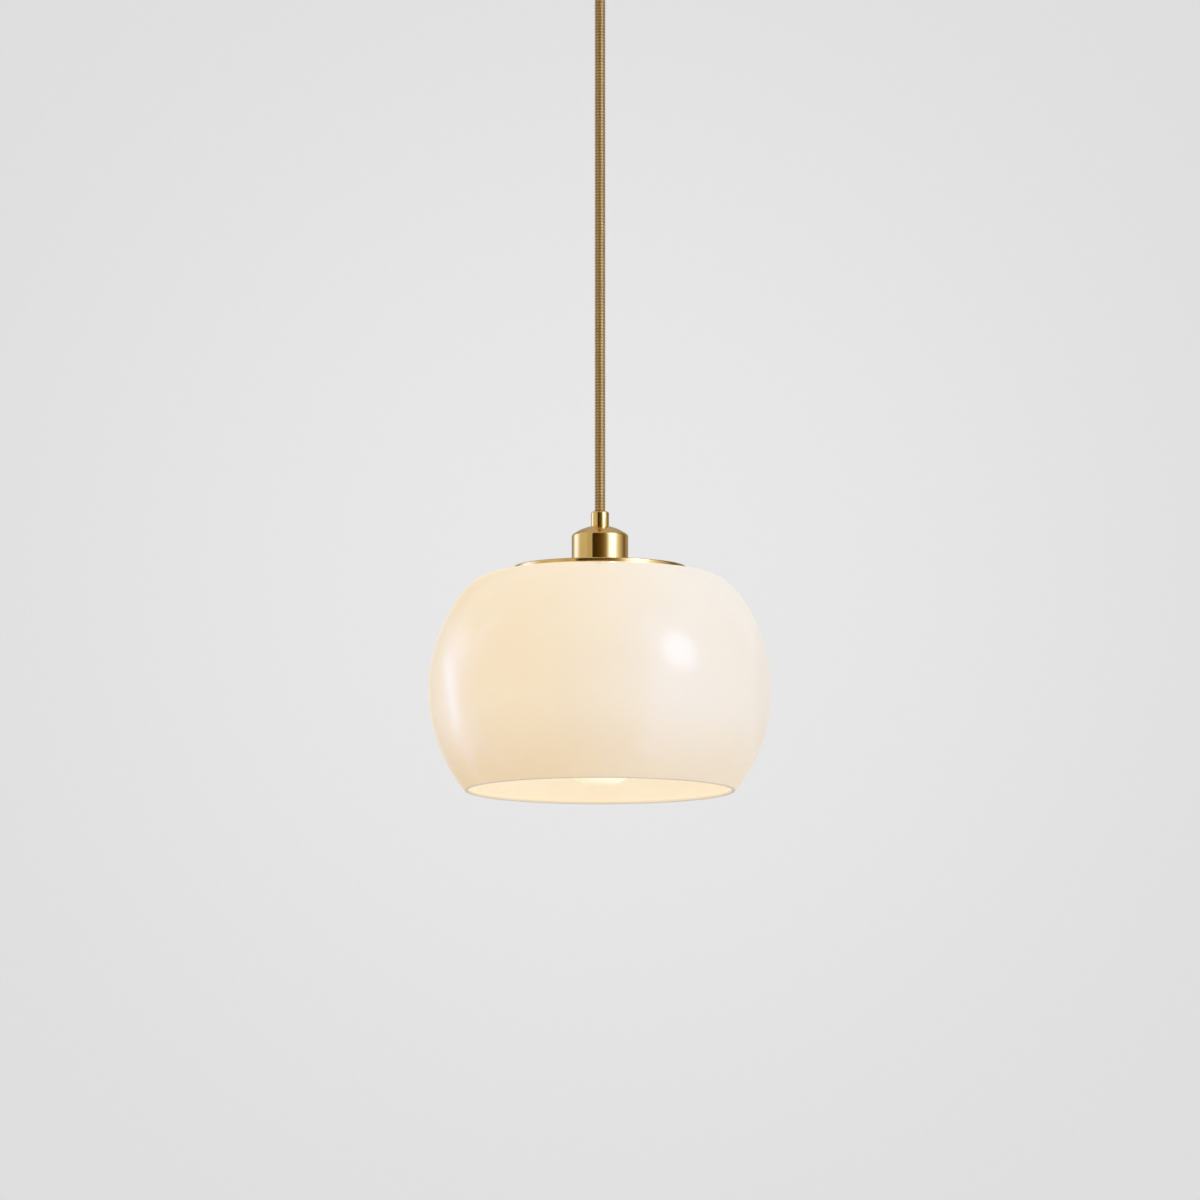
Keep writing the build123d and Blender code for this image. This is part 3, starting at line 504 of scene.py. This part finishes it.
NICKEL = metal("nickel_shell", (0.72, 0.70, 0.66), (0.58, 0.56, 0.52), 0.22, 1300.0, (0.3, 0.3, 3.0))
SOLDER = metal("solder", (0.66, 0.66, 0.68), (0.46, 0.46, 0.48), 0.36, 500.0, relief=0.06 * MM)
LED_BOARD = moulded("board_coat", (0.85, 0.86, 0.87), (0.78, 0.79, 0.80), 0.4, 1600.0)
DRIVER = moulded("driver_epoxy", (0.05, 0.16, 0.08), (0.03, 0.10, 0.05), 0.42, 1200.0)
PHOSPHOR = moulded("phosphor", (0.86, 0.62, 0.12), (0.78, 0.52, 0.08), 0.4, 1800.0)
DIFFUSER = lit_diffuser("bulb_diffuser")
CORE_BROWN = insulated("core_brown", (0.16, 0.06, 0.025))
CORE_BLUE = insulated("core_blue", (0.02, 0.10, 0.34))
CORE_EARTH = insulated("core_earth", (0.08, 0.32, 0.06), (0.75, 0.62, 0.05))


# ---- turned pieces -------------------------------------------------------------------------------
SHARP_ANGLE = math.radians(32.0)  # edges that turn by more than this are drawn sharp


def arc(centre, radius, start, end, steps):
    """Points on a circle in the turning plane, as (radius, height); angles in degrees above horizontal."""
    return [
        (
            centre[0] + radius * math.cos(math.radians(start + (end - start) * i / steps)),
            centre[1] + radius * math.sin(math.radians(start + (end - start) * i / steps)),
        )
        for i in range(steps + 1)
    ]


def lathe(name, outline, body, looks, replaces, segments, faces_to=None):
    """A closed outline of (radius, height) points in metres, turned about the Z axis. A point on the axis
    becomes one vertex. faces_to gives the index of the material for each step of the outline."""
    mesh = bpy.data.meshes.new(name)
    bm = bmesh.new()
    uv = bm.loops.layers.uv.new("UVMap")
    rings = []
    for radius, height in outline:
        if radius < ON_AXIS:
            rings.append([bm.verts.new((0.0, 0.0, height))] * segments)
            continue
        turns = [TAU * i / segments for i in range(segments)]
        rings.append([bm.verts.new((radius * math.sin(t), -radius * math.cos(t), height)) for t in turns])
    run = [0.0]
    for a, b in zip(outline, outline[1:] + outline[:1]):
        run.append(run[-1] + math.dist(a, b))
    count = len(outline)
    for step in range(count):
        below, above = rings[step], rings[(step + 1) % count]
        if below[0] is below[1] and above[0] is above[1]:
            continue
        for i in range(segments):
            j = (i + 1) % segments
            corners = [
                (below[i], i, step),
                (below[j], i + 1, step),
                (above[j], i + 1, step + 1),
                (above[i], i, step + 1),
            ]
            seen, kept = set(), []
            for vertex, column, row in corners:
                if vertex not in seen:
                    seen.add(vertex)
                    kept.append((vertex, column, row))
            face = bm.faces.new([vertex for vertex, _, _ in kept])
            face.material_index = faces_to[step] if faces_to else 0
            for loop, (_, column, row) in zip(face.loops, kept):
                loop[uv].uv = (column / segments, run[row])
    bmesh.ops.recalc_face_normals(bm, faces=bm.faces)
    bm.to_mesh(mesh)
    bm.free()
    for look in looks if isinstance(looks, (list, tuple)) else [looks]:
        mesh.materials.append(look)
    mesh.shade_smooth()
    mesh.set_sharp_from_angle(angle=SHARP_ANGLE)
    piece = bpy.data.objects.new(name, mesh)
    bpy.context.scene.collection.objects.link(piece)
    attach(piece, body)
    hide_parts(*replaces)
    return piece


def rounded(points, radius, steps=4):
    """A closed outline with each corner off the axis cut by a small curve of about that radius."""
    made = []
    count = len(points)
    for i, corner in enumerate(points):
        before, after = Vector(points[i - 1]), Vector(points[(i + 1) % count])
        here = Vector(corner)
        if corner[0] < ON_AXIS:
            made.append(corner)
            continue
        most = 0.45 * min((before - here).length, (after - here).length)
        cut = min(radius, most)
        start = here + (before - here).normalized() * cut
        end = here + (after - here).normalized() * cut
        for k in range(steps + 1):
            t = k / steps
            point = start * (1 - t) ** 2 + here * 2 * t * (1 - t) + end * t**2
            made.append((point.x, point.y))
    return made


# Opal glass shade: three arcs from the rim up, belly, shoulder and crown, then a flat top with a hole
BELLY_RISE = 71.0 * MM
BELLY = (9.5 * MM, RIM_Z + BELLY_RISE)
BELLY_ARC, SHOULDER_ARC, CROWN_ARC, WALL = 110.5 * MM, 35.8 * MM, 77.8 * MM, 3.5 * MM
SHOULDER_ANGLE, CROWN_ANGLE = 38.7, 75.7
GLASS_HOLE, GLASS_FLAT = 6.5 * MM, 30.0 * MM


def beside(centre, distance, angle):
    """The point at a distance and an angle in degrees from a centre."""
    return arc(centre, distance, angle, angle, 1)[0]


SHOULDER = beside(BELLY, BELLY_ARC - SHOULDER_ARC, SHOULDER_ANGLE)
CROWN = beside(SHOULDER, SHOULDER_ARC - CROWN_ARC, CROWN_ANGLE)
RIM_ANGLE = math.degrees(math.asin((WALL / 2 - BELLY_RISE) / (BELLY_ARC - WALL / 2)))
RIM_MIDDLE = beside(BELLY, BELLY_ARC - WALL / 2, RIM_ANGLE)
outside = (
    arc(BELLY, BELLY_ARC, RIM_ANGLE, SHOULDER_ANGLE, 64)
    + arc(SHOULDER, SHOULDER_ARC, SHOULDER_ANGLE, CROWN_ANGLE, 20)[1:]
    + arc(CROWN, CROWN_ARC, CROWN_ANGLE, 90, 12)[1:]
    + [(GLASS_FLAT, GLASS_TOP), (GLASS_HOLE, GLASS_TOP)]
)
inner = (
    [(GLASS_HOLE, GLASS_TOP - WALL), (GLASS_FLAT, GLASS_TOP - WALL)]
    + arc(CROWN, CROWN_ARC - WALL, 90, CROWN_ANGLE, 12)
    + arc(SHOULDER, SHOULDER_ARC - WALL, CROWN_ANGLE, SHOULDER_ANGLE, 16)[1:]
    + arc(BELLY, BELLY_ARC - WALL, SHOULDER_ANGLE, RIM_ANGLE, 56)[1:]
)
lip = arc(RIM_MIDDLE, WALL / 2, RIM_ANGLE, RIM_ANGLE - 180, 10)[1:-1][::-1]
lathe(
    "opal_shade",
    outside + inner + lip,
    "lamp",
    [OPAL_OUT, OPAL_IN, OPAL_LIP],
    ["glass_shade"],
    256,
    [0] * (len(outside) - 1) + [1] * len(inner) + [2] * (len(lip) + 1),
)

# Brass cup, disc, grips and canopy
CUP_RADIUS, CUP_SHEET, CUP_EDGE, CUP_ARC = 19.8 * MM, 1.0 * MM, 2.5 * MM, 32.0 * MM
CUP_FOOT = 1.0 * MM  # a step low on its straight side
CUP_SEAT, NUT_SEAT = 6.6 * MM, 8.4 * MM  # flats on the dome under the grip, and inside it over the nut
CLEAR_HOLE = 5.1 * MM
edge_angle = math.degrees(math.acos((CUP_RADIUS - CUP_EDGE) / (CUP_ARC - CUP_EDGE)))
seat_angle = math.degrees(math.acos(CUP_SEAT / CUP_ARC))
dome_z = CUP_TOP - CUP_ARC * math.sin(math.radians(seat_angle))
side_z = dome_z + (CUP_ARC - CUP_EDGE) * math.sin(math.radians(edge_angle))
nut_angle = math.degrees(math.acos(NUT_SEAT / (CUP_ARC - CUP_SHEET)))
nut_z = dome_z + (CUP_ARC - CUP_SHEET) * math.sin(math.radians(nut_angle))
lathe(
    "brass_cup",
    [(CUP_RADIUS, DISC_TOP), (CUP_RADIUS, DISC_TOP + CUP_FOOT)]
    + arc((CUP_RADIUS - CUP_EDGE, side_z), CUP_EDGE, 0, edge_angle, 14)
    + arc((0, dome_z), CUP_ARC, edge_angle, seat_angle, 18)[1:]
    + [(CLEAR_HOLE, CUP_TOP), (CLEAR_HOLE, nut_z)]
    + arc((0, dome_z), CUP_ARC - CUP_SHEET, nut_angle, edge_angle, 12)
    + arc((CUP_RADIUS - CUP_EDGE, side_z), CUP_EDGE - CUP_SHEET, edge_angle, 0, 8)[1:]
    + [(CUP_RADIUS - CUP_SHEET, DISC_TOP)],
    "lamp",
    BRASS,
    ["socket_cup"],
    192,
)

DISC_RADIUS, DISC_SHEET, DISC_RIM, DISC_EDGE = 60.3 * MM, 1.2 * MM, 2.9 * MM, 0.9 * MM
DISC_BREAK = 0.25 * MM
lathe(
    "brass_disc",
    arc((DISC_RADIUS - DISC_BREAK, DISC_TOP - DISC_RIM + DISC_BREAK), DISC_BREAK, -90, 0, 4)
    + arc((DISC_RADIUS - DISC_EDGE, DISC_TOP - DISC_EDGE), DISC_EDGE, 0, 90, 8)
    + [(CLEAR_HOLE, DISC_TOP), (CLEAR_HOLE, DISC_TOP - DISC_SHEET)]
    + [(DISC_RADIUS - DISC_SHEET, DISC_TOP - DISC_SHEET), (DISC_RADIUS - DISC_SHEET, DISC_TOP - DISC_RIM)],
    "lamp",
    BRASS,
    ["cover_disc"],
    256,
)


def grip(name, body, node, seat, way, length):
    """A brass cord grip: threaded socket, cord bore and bell mouth, its edges softened. It stands on its
    seat, and way is 1 if it points up and -1 if it points down. Its length is in millimetres."""
    socket, depth, bore, outer, chamfer = 4.98, 4.3, 3.6, 6.3, 0.7
    mouth, bell = 5.0, 2.4
    points = [
        (socket, 0.0),
        (outer, 0.0),
        (outer, length - chamfer),
        (outer - chamfer, length),
        (mouth, length),
        (bore, length - bell),
        (bore, depth),
        (socket, depth),
    ]
    outline = rounded([(r * MM, seat + way * h * MM) for r, h in points], 0.18 * MM, 3)
    return lathe(name, outline, body, BRASS, [node], 128)


grip("lamp_cord_grip", "lamp", "lamp_grip", CUP_TOP, 1, 10.3)
grip("canopy_cord_grip", "ceiling_fitting", "canopy_grip", high("canopy_grip"), -1, 12.0)

CANOPY_LOW = low("canopy")
CANOPY_RADIUS, CANOPY_SHEET, CANOPY_EDGE, CANOPY_BREAK = 50.0 * MM, 1.0 * MM, 4.0 * MM, 0.3 * MM
corner = (CANOPY_RADIUS - CANOPY_EDGE, CANOPY_LOW + CANOPY_EDGE)
lathe(
    "brass_canopy",
    [(CLEAR_HOLE, CANOPY_LOW)]
    + arc(corner, CANOPY_EDGE, -90, 0, 14)
    + arc((CANOPY_RADIUS - CANOPY_BREAK, -CANOPY_BREAK), CANOPY_BREAK, 0, 90, 4)
    + [(CANOPY_RADIUS - CANOPY_SHEET, 0.0)]
    + arc(corner, CANOPY_EDGE - CANOPY_SHEET, 0, -90, 10)
    + [(CLEAR_HOLE, CANOPY_LOW + CANOPY_SHEET)],
    "ceiling_fitting",
    BRASS,
    ["canopy"],
    224,
)

# Porcelain lampholder: its cap's heights are in millimetres from its top, its barrel's in metres
HOLDER_TOP, HOLDER_SPLIT, HOLDER_MOUTH = high("holder_dome"), low("holder_dome"), low("holder_skirt")
HOLDER_ROUND = 0.5 * MM
INSERT_LOW = low("holder_insert")
MOUTH_LEDGE = HOLDER_MOUTH + 1.6 * MM
holder_dome = [
    (5.1, 0.0),
    (8.5, 0.0),
    (9.5, -1.0),
    (9.5, -3.5),
    (15.5, -6.5),
    (18.5, -10.0),
    (18.5, (HOLDER_SPLIT - HOLDER_TOP) / MM),
    (16.0, (HOLDER_SPLIT - HOLDER_TOP) / MM),
    (16.0, -11.0),
    (14.0, -8.6),
    (7.5, -5.4),
    (7.5, -3.0),
    (5.1, -3.0),
]
lathe(
    "holder_cap",
    rounded([(r * MM, HOLDER_TOP + h * MM) for r, h in holder_dome], HOLDER_ROUND),
    "lamp",
    PORCELAIN,
    ["holder_dome"],
    128,
)
holder_skirt = [
    (15.9, HOLDER_SPLIT),
    (19.5, HOLDER_SPLIT),
    (19.5, HOLDER_MOUTH + 9 * MM),
    (18.3, HOLDER_MOUTH + 8 * MM),
    (18.3, HOLDER_MOUTH + 1.5 * MM),
    (17.1, HOLDER_MOUTH),
    (13.7, HOLDER_MOUTH),
    (13.7, MOUTH_LEDGE),
    (14.9, MOUTH_LEDGE),
    (14.9, INSERT_LOW),
    (15.9, INSERT_LOW),
]
lathe(
    "holder_barrel",
    rounded([(r * MM, height) for r, height in holder_skirt], HOLDER_ROUND),
    "lamp",
    PORCELAIN,
    ["holder_skirt"],
    128,
)

# Clamp plate and the gasket on it
for name, node, outer, look, slot in (
    ("clamp_disc", "clamp_plate", 25.0 * MM, ZINC, "zinc_steel"),
    ("gasket_under", "lower_gasket", 26.0 * MM, SILICONE, "silicone"),
):
    outline = [(CLEAR_HOLE, low(node)), (outer, low(node)), (outer, high(node)), (CLEAR_HOLE, high(node))]
    lathe(name, rounded(outline, 0.3 * MM), "lamp", look, [node], 128)

# Bulb: a dome that is part of a ball up to its seam, and a body that curves in from there to its neck
GLOBE_R, BULB_WALL, NECK_R = 30.0 * MM, 1.5 * MM, 13.8 * MM
SEAM, SEAM_DEPTH = 40.3, 0.35 * MM  # the seam's angle above the ball's middle, and its groove
COLLAR, COLLAR_CUT = 1.2 * MM, 0.5 * MM  # the small bevel where the body meets its cap
globe = (0.0, BULB_LOW + GLOBE_R)
neck_arc = (GLOBE_R * math.cos(math.radians(SEAM)) - NECK_R) / (1 - math.cos(math.radians(SEAM)))
neck = beside(globe, GLOBE_R + neck_arc, SEAM)
CAP_LOW = low("bulb_cap")
lathe(
    "bulb_dome",
    [(0.0, BULB_LOW)]
    + arc(globe, GLOBE_R, -90, SEAM - 0.7, 44)[1:]
    + arc(globe, GLOBE_R - SEAM_DEPTH, SEAM - 0.3, SEAM, 1)
    + arc(globe, GLOBE_R - BULB_WALL, SEAM, -90, 20)[:-1]
    + [(0.0, BULB_LOW + BULB_WALL)],
    "bulb",
    DIFFUSER,
    ["bulb_globe"],
    128,
)
lathe(
    "bulb_body",
    arc(neck, neck_arc, 180 + SEAM, 180, 20)
    + [(NECK_R, CAP_LOW + COLLAR), (NECK_R - COLLAR_CUT, CAP_LOW)]
    + [(NECK_R - BULB_WALL, CAP_LOW)]
    + arc(neck, neck_arc + BULB_WALL, 180, 180 + SEAM, 16),
    "bulb",
    BULB_WHITE,
    ["bulb_housing"],
    128,
)


# ---- braided cord --------------------------------------------------------------------------------
def route_points(route):
    """The points down the middle of a cord, read from its NURBS spline."""
    curve = bpy.data.curves.new("route", "CURVE")
    curve.dimensions = "3D"
    curve.resolution_u = 24
    spline = curve.splines.new("NURBS")
    spline.points.add(len(route) - 1)
    for point, place in zip(spline.points, route):
        point.co = (*place, 1.0)
    spline.order_u = 3
    spline.use_endpoint_u = True
    bare = bpy.data.objects.new("route", curve)
    mesh = bpy.data.meshes.new_from_object(bare)
    points = np.array([v.co for v in mesh.vertices], float).reshape(-1, 3)
    bpy.data.meshes.remove(mesh)
    bpy.data.objects.remove(bare)
    bpy.data.curves.remove(curve)
    return points


def braided(name, points, body, ends, swell):
    """A braided tube down a line of points: carriers crossing one over one stand proud as real relief.
    ends says for each end whether it runs on past its point into a half ball centred there, and swell is
    how far the crowns stand outside the cord's nominal radius."""
    columns = BRAID_COLUMNS
    for end, side in ((0, 1), (-1, -2)):
        if ends[end]:
            way = points[end] - points[side]
            points = points.copy()
            points[end] = points[end] + way / np.linalg.norm(way) * CORD_RADIUS
    run = np.concatenate([[0.0], np.cumsum(np.linalg.norm(np.diff(points, axis=0), axis=1))])
    length = run[-1]
    rows = int(round(length / BRAID_ROW))
    along = np.linspace(0.0, length, rows + 1)
    middle = np.stack([np.interp(along, run, points[:, k]) for k in range(3)], axis=1)
    turn = np.arange(columns + 1) / columns
    u, v = np.meshgrid(turn, middle[:, 2])
    a = BRAID_CARRIERS * (u + v / BRAID_LAY)
    b = BRAID_CARRIERS * (u - v / BRAID_LAY)
    odd = (np.floor(a) + np.floor(b)) % 2
    across = np.where(odd > 0.5, b % 1, a % 1)
    over = np.where(odd > 0.5, a % 1, b % 1)
    crown = 1 - np.abs(2 * across - 1) ** BRAID_FLATNESS
    rise = BRAID_DIVE + (1 - BRAID_DIVE) * np.sin(math.pi * over)
    radius = CORD_RADIUS + swell - BRAID_RELIEF * (1 - crown * rise)
    for at_end, far in zip(ends, (along, length - along)):
        if at_end:
            near = np.clip(far / CORD_RADIUS, 0.0, 1.0)[:, None]
            radius = radius * np.sqrt(np.clip(1 - (1 - near) ** 2, 0.02, 1.0))
    x = radius * np.sin(TAU * u) + middle[:, :1]
    y = -radius * np.cos(TAU * u) + middle[:, 1:2]
    z = np.repeat(middle[:, 2:3], columns + 1, axis=1)
    grid = np.stack([x, y, z], axis=2)[:, :columns].reshape(-1, 3)
    grid = np.concatenate([grid, middle[:1], middle[-1:]])
    mesh = bpy.data.meshes.new(name)
    row, column = np.meshgrid(np.arange(rows), np.arange(columns), indexing="ij")
    after = (column + 1) % columns
    quads = np.stack(
        [
            row * columns + column,
            (row + 1) * columns + column,
            (row + 1) * columns + after,
            row * columns + after,
        ],
        axis=2,
    ).reshape(-1, 4)
    first, last, tail = len(grid) - 2, len(grid) - 1, rows * columns
    caps = [(first, i, (i + 1) % columns) for i in range(columns)]
    caps += [(last, tail + (i + 1) % columns, tail + i) for i in range(columns)]
    mesh.from_pydata(grid.tolist(), [], quads.tolist() + caps)
    uv = mesh.uv_layers.new(name="UVMap")
    quad_u = np.stack([column, column, column + 1, column + 1], axis=2) / columns
    quad_v = middle[:, 2][np.stack([row, row + 1, row + 1, row], axis=2)]
    flat = np.stack([quad_u, quad_v], axis=3).reshape(-1, 2)
    cap_uv = np.zeros((len(caps) * 3, 2))
    uv.data.foreach_set("uv", np.concatenate([flat, cap_uv]).astype(np.float32).ravel())
    mesh.materials.append(BRAID)
    mesh.update()
    mesh.shade_smooth()
    piece = bpy.data.objects.new(name, mesh)
    bpy.context.scene.collection.objects.link(piece)
    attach(piece, body)
    return piece


line = route_points(ROUTE)
cord = braided("braided_cord", line, "hanging_cord", (True, True), CORD_SWELL)
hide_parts("cord", "cord_knuckle_top", "cord_knuckle_low")
for name, node, body, pivot, end in (
    ("cord_in_canopy", "cord_top", "ceiling_fitting", UPPER_PIVOT, high("cord_top")),
    ("cord_in_lamp", "cord_tail", "lamp", LOWER_PIVOT, low("cord_tail")),
):
    points = np.array([(0.0, 0.0, pivot), (0.0, 0.0, end)])
    piece = braided(name, points, body, (True, False), TAIL_SWELL)
    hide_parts(node)

# ---- looks of the CAD nodes that stay ------------------------------------------------------------
DRESS = {
    ZINC: "ceiling_bracket canopy_nut earth_washer cup_nut clamp_nut",
    STEEL: "canopy_grip_screw terminal_screws block_screw earth_screw lamp_grip_screw spring_washer"
    " holder_terminal_screws",
    TUBE: "canopy_tube threaded_tube",
    BRASS: "canopy_screws",
    BRASS_PLAIN: "terminal_clamps entry_nut holder_terminals centre_contact thread_shell earth_tag",
    BLOCK: "terminal_block",
    SILICONE: "upper_gasket glass_bush",
    PORCELAIN: "holder_insert",
    CORE_BROWN: "ceiling_core_live holder_core_live",
    CORE_BLUE: "ceiling_core_neutral holder_core_neutral",
    CORE_EARTH: "ceiling_core_earth holder_core_earth",
    NICKEL: "bulb_cap",
    BLACK_GLASS: "bulb_insulator",
    SOLDER: "bulb_tip",
    LED_BOARD: "led_board",
    PHOSPHOR: "led_chips",
    DRIVER: "led_driver",
}
for look, names in DRESS.items():
    for name in names.split():
        mesh = NODES[name].data
        mesh.materials.clear()
        mesh.materials.append(look)

# ---- studio --------------------------------------------------------------------------------------
# How bright the room looks at each bearing round the lamp, in degrees from the front, right positive: a
# window on the right, a lower pane behind on the left, and a dark curtain in front.
ROOM = [
    (-180, 0.50),
    (-152, 0.30),
    (-139, 0.50),
    (-133, 0.70),
    (-125, 0.95),
    (-118, 1.06),
    (-110, 1.04),
    (-102, 0.92),
    (-94, 0.72),
    (-86, 0.60),
    (-60, 0.62),
    (-46, 0.49),
    (-34, 0.57),
    (-30.5, 0.035),
    (-16, 0.044),
    (4, 0.098),
    (16, 0.175),
    (25, 0.32),
    (29, 0.54),
    (34, 0.80),
    (38, 0.97),
    (45, 1.02),
    (52, 1.0),
    (58, 0.93),
    (66, 0.86),
    (75, 0.79),
    (85, 0.66),
    (97, 0.46),
    (108, 0.28),
    (117, 0.13),
    (128, 0.28),
    (180, 0.46),
]
# The colour that goes with each brightness: deep brown in the dark, cool daylight in the windows.
TONES = [
    (0.03, (0.03, 0.017, 0.004)),
    (0.10, (0.10, 0.062, 0.018)),
    (0.20, (0.20, 0.165, 0.10)),
    (0.33, (0.33, 0.31, 0.28)),
    (0.48, (0.48, 0.47, 0.46)),
    (0.62, (0.62, 0.64, 0.64)),
    (0.74, (0.74, 0.84, 1.25)),
    (0.87, (0.87, 1.10, 2.06)),
    (0.94, (0.95, 1.27, 2.5)),
    (1.04, (1.18, 1.54, 3.15)),
    (1.20, (2.2, 2.2, 3.8)),
]
BRIGHTEST = 4.2  # above all of these, which are divided by it to fit a ramp's 0..1
# The room's bands stand between these heights, in degrees, and the pane between its own.
BAND_TOP, BAND_FOOT, PANE_TOP, PANE_FOOT = 38.0, -46.0, 18.0, -20.0
PANE_LEFT, PANE_RIGHT = (-148.0, -142.0), (-104.0, -98.0)
ROOM_GREY = (0.50, 0.49, 0.50)  # over and under the bands
# The key light, a soft spot on the right with a faint halo. Both start and are full at these cosines of
# the angle from its middle.
KEY_BEARING, KEY_RISE, KEY_COLOUR = 57.5, 21.5, (4.4, 6.2, 8.6)
KEY_SPOT, KEY_HALO = (0.946, 0.998), (0.86, 0.97)
# The wall's brightness in its middle and at its corners, darkened there by painted shade, and how far up its
# middle lies, as a sine.
WALL_MIDDLE, WALL_CORNER_SHADED, WALL_RISE = 0.805, 0.735, 0.112
WEAVE_COARSE, WEAVE_FINE, WEAVE_DEPTH = 900.0, 9000.0, 0.018


def tone(level):
    """The room's colour at one brightness."""
    levels = [step[0] for step in TONES]
    return [float(np.interp(level, levels, [step[1][k] for step in TONES])) for k in range(3)]


def toward(bearing, rise):
    """A direction from its bearing and its height above the horizon, in degrees."""
    turn, lift = math.radians(bearing), math.radians(rise)
    return (math.sin(turn) * math.cos(lift), -math.cos(turn) * math.cos(lift), math.sin(lift))


scene = bpy.context.scene
world = bpy.data.worlds.new("studio")
scene.world = world
world.use_nodes = True
g = Graph(world.node_tree)
wx, wy, wz = g.parts(g.where("Generated"))
bearing = g.times(g.math("ARCTAN2", wx, g.times(wy, -1.0)), 180 / math.pi)
share = g.add(g.times(bearing, 1 / 360), 0.5)
around = g.ramp(share, [(0.5 + b / 360, [v / BRIGHTEST for v in tone(level)]) for b, level in ROOM])
around = g.mix(1.0, around, (BRIGHTEST, BRIGHTEST, BRIGHTEST), "MULTIPLY")
height = g.times(g.math("ARCSINE", wz), 180 / math.pi)
pane = g.times(g.fade(bearing, *PANE_RIGHT), g.span(bearing, *PANE_LEFT))
top = g.add(BAND_TOP, g.times(pane, PANE_TOP - BAND_TOP))
foot = g.add(BAND_FOOT, g.times(pane, PANE_FOOT - BAND_FOOT))
above = g.fade(g.math("SUBTRACT", height, top), 0.0, 14.0)
below = g.span(g.math("SUBTRACT", height, foot), -10.0, 0.0)
room = g.mix(g.times(above, below), ROOM_GREY, around)
key = toward(KEY_BEARING, KEY_RISE)
facing = g.add(g.times(wx, key[0]), g.add(g.times(wy, key[1]), g.times(wz, key[2])))
spot = g.math("POWER", g.span(facing, *KEY_SPOT), 2.0)
lamp = g.add(spot, g.span(facing, *KEY_HALO, 0.0, 0.05))
room = g.mix(lamp, room, KEY_COLOUR, "ADD")
lit = g.node("Background", {"Color": room, "Strength": 1.0})
# Behind the lamp the camera sees a plain pale wall with a faint weave, made a little darker towards its
# corners by painted shade.
off_centre = g.length(wx, g.add(wz, -WALL_RISE))
threads = [
    g.noise(g.vector(g.times(wx, by_x), wy, g.times(wz, by_z)), 1.0, 2.0, 0.5)
    for by_x, by_z in ((WEAVE_COARSE, WEAVE_FINE), (WEAVE_FINE, WEAVE_COARSE))
]
weave = g.times(g.add(g.add(*threads), -1.0), WEAVE_DEPTH)
wall = g.add(g.span(off_centre, 0.004, 0.05, WALL_MIDDLE, WALL_CORNER_SHADED), weave)
wall_colour = g.node("CombineColor", {0: wall, 1: wall, 2: g.times(wall, 0.998)}).outputs[0]
seen = g.node("Background", {"Color": wall_colour, "Strength": 1.0})
# Matt surfaces gather an even, soft light, a little stronger from above and from the right.
soft_level = g.add(0.46, g.add(g.times(wz, 0.06), g.times(wx, 0.05)))
soft = g.node("Background", {"Color": (1.0, 0.99, 0.97, 1.0), "Strength": soft_level})
rays = g.node("LightPath").outputs
matt = g.node("MixShader", {0: rays["Is Glossy Ray"], 1: soft.outputs[0], 2: lit.outputs[0]})
mixed = g.node("MixShader", {0: rays["Is Camera Ray"], 1: matt.outputs[0], 2: seen.outputs[0]})
g.put(g.node("OutputWorld").inputs["Surface"], mixed.outputs[0])

# Pale floor, far below: seen from above only, and fading out before its edge.
FLOOR_Z, FLOOR_RADIUS, FLOOR_FADE = -2.4, 15.0, (5.0, 14.0)
floor_mesh = bpy.data.meshes.new("floor")
bm = bmesh.new()
bmesh.ops.create_circle(bm, cap_ends=True, segments=96, radius=FLOOR_RADIUS)
bmesh.ops.translate(bm, verts=bm.verts, vec=(0, 0, FLOOR_Z))
bm.to_mesh(floor_mesh)
bm.free()
floor_look, g = material("floor_pale")
fx, fy, _ = g.parts(g.where())
far = g.length(fx, fy)
grain = g.noise(g.where(), 9.0, 5.0, 0.6)
pale = g.mix(g.spread(grain), (0.80, 0.80, 0.80), (0.785, 0.785, 0.785))
floor_shader = principled(
    g, Base_Color=pale, Roughness=0.8, Emission_Color=pale, Emission_Strength=0.46
)
clear = g.node("BsdfTransparent")
hidden = g.math("MAXIMUM", g.node("NewGeometry").outputs["Backfacing"], g.span(far, *FLOOR_FADE))
shown = g.node("MixShader", {0: hidden, 1: floor_shader.outputs[0], 2: clear.outputs[0]})
g.surface(shown.outputs[0])
floor_mesh.materials.append(floor_look)
floor = bpy.data.objects.new("floor", floor_mesh)
scene.collection.objects.link(floor)
floor.visible_diffuse = False
floor.visible_glossy = False

# Camera: a long lens from below, looking up at the lamp from the front.
LOOK_AT = Vector((0.0, 0.0, RIM_Z + 134.4 * MM))
DISTANCE, ELEVATION = 12.0, math.radians(-6.34)
SENSOR, VIEW_WIDTH = 36.0, 0.8397  # the frame's width in millimetres on the sensor, in metres at the lamp
camera_data = bpy.data.cameras.new("camera")
camera = bpy.data.objects.new("camera", camera_data)
scene.collection.objects.link(camera)
backwards = Vector((0.0, -math.cos(ELEVATION), math.sin(ELEVATION)))
camera.location = LOOK_AT + backwards * DISTANCE
camera.rotation_mode = "QUATERNION"
camera.rotation_quaternion = (-backwards).to_track_quat("-Z", "Y")
camera_data.sensor_width = SENSOR
camera_data.lens = SENSOR * DISTANCE / VIEW_WIDTH
camera_data.clip_start, camera_data.clip_end = 0.1, 100.0
scene.camera = camera
scene.view_settings.view_transform = "Standard"
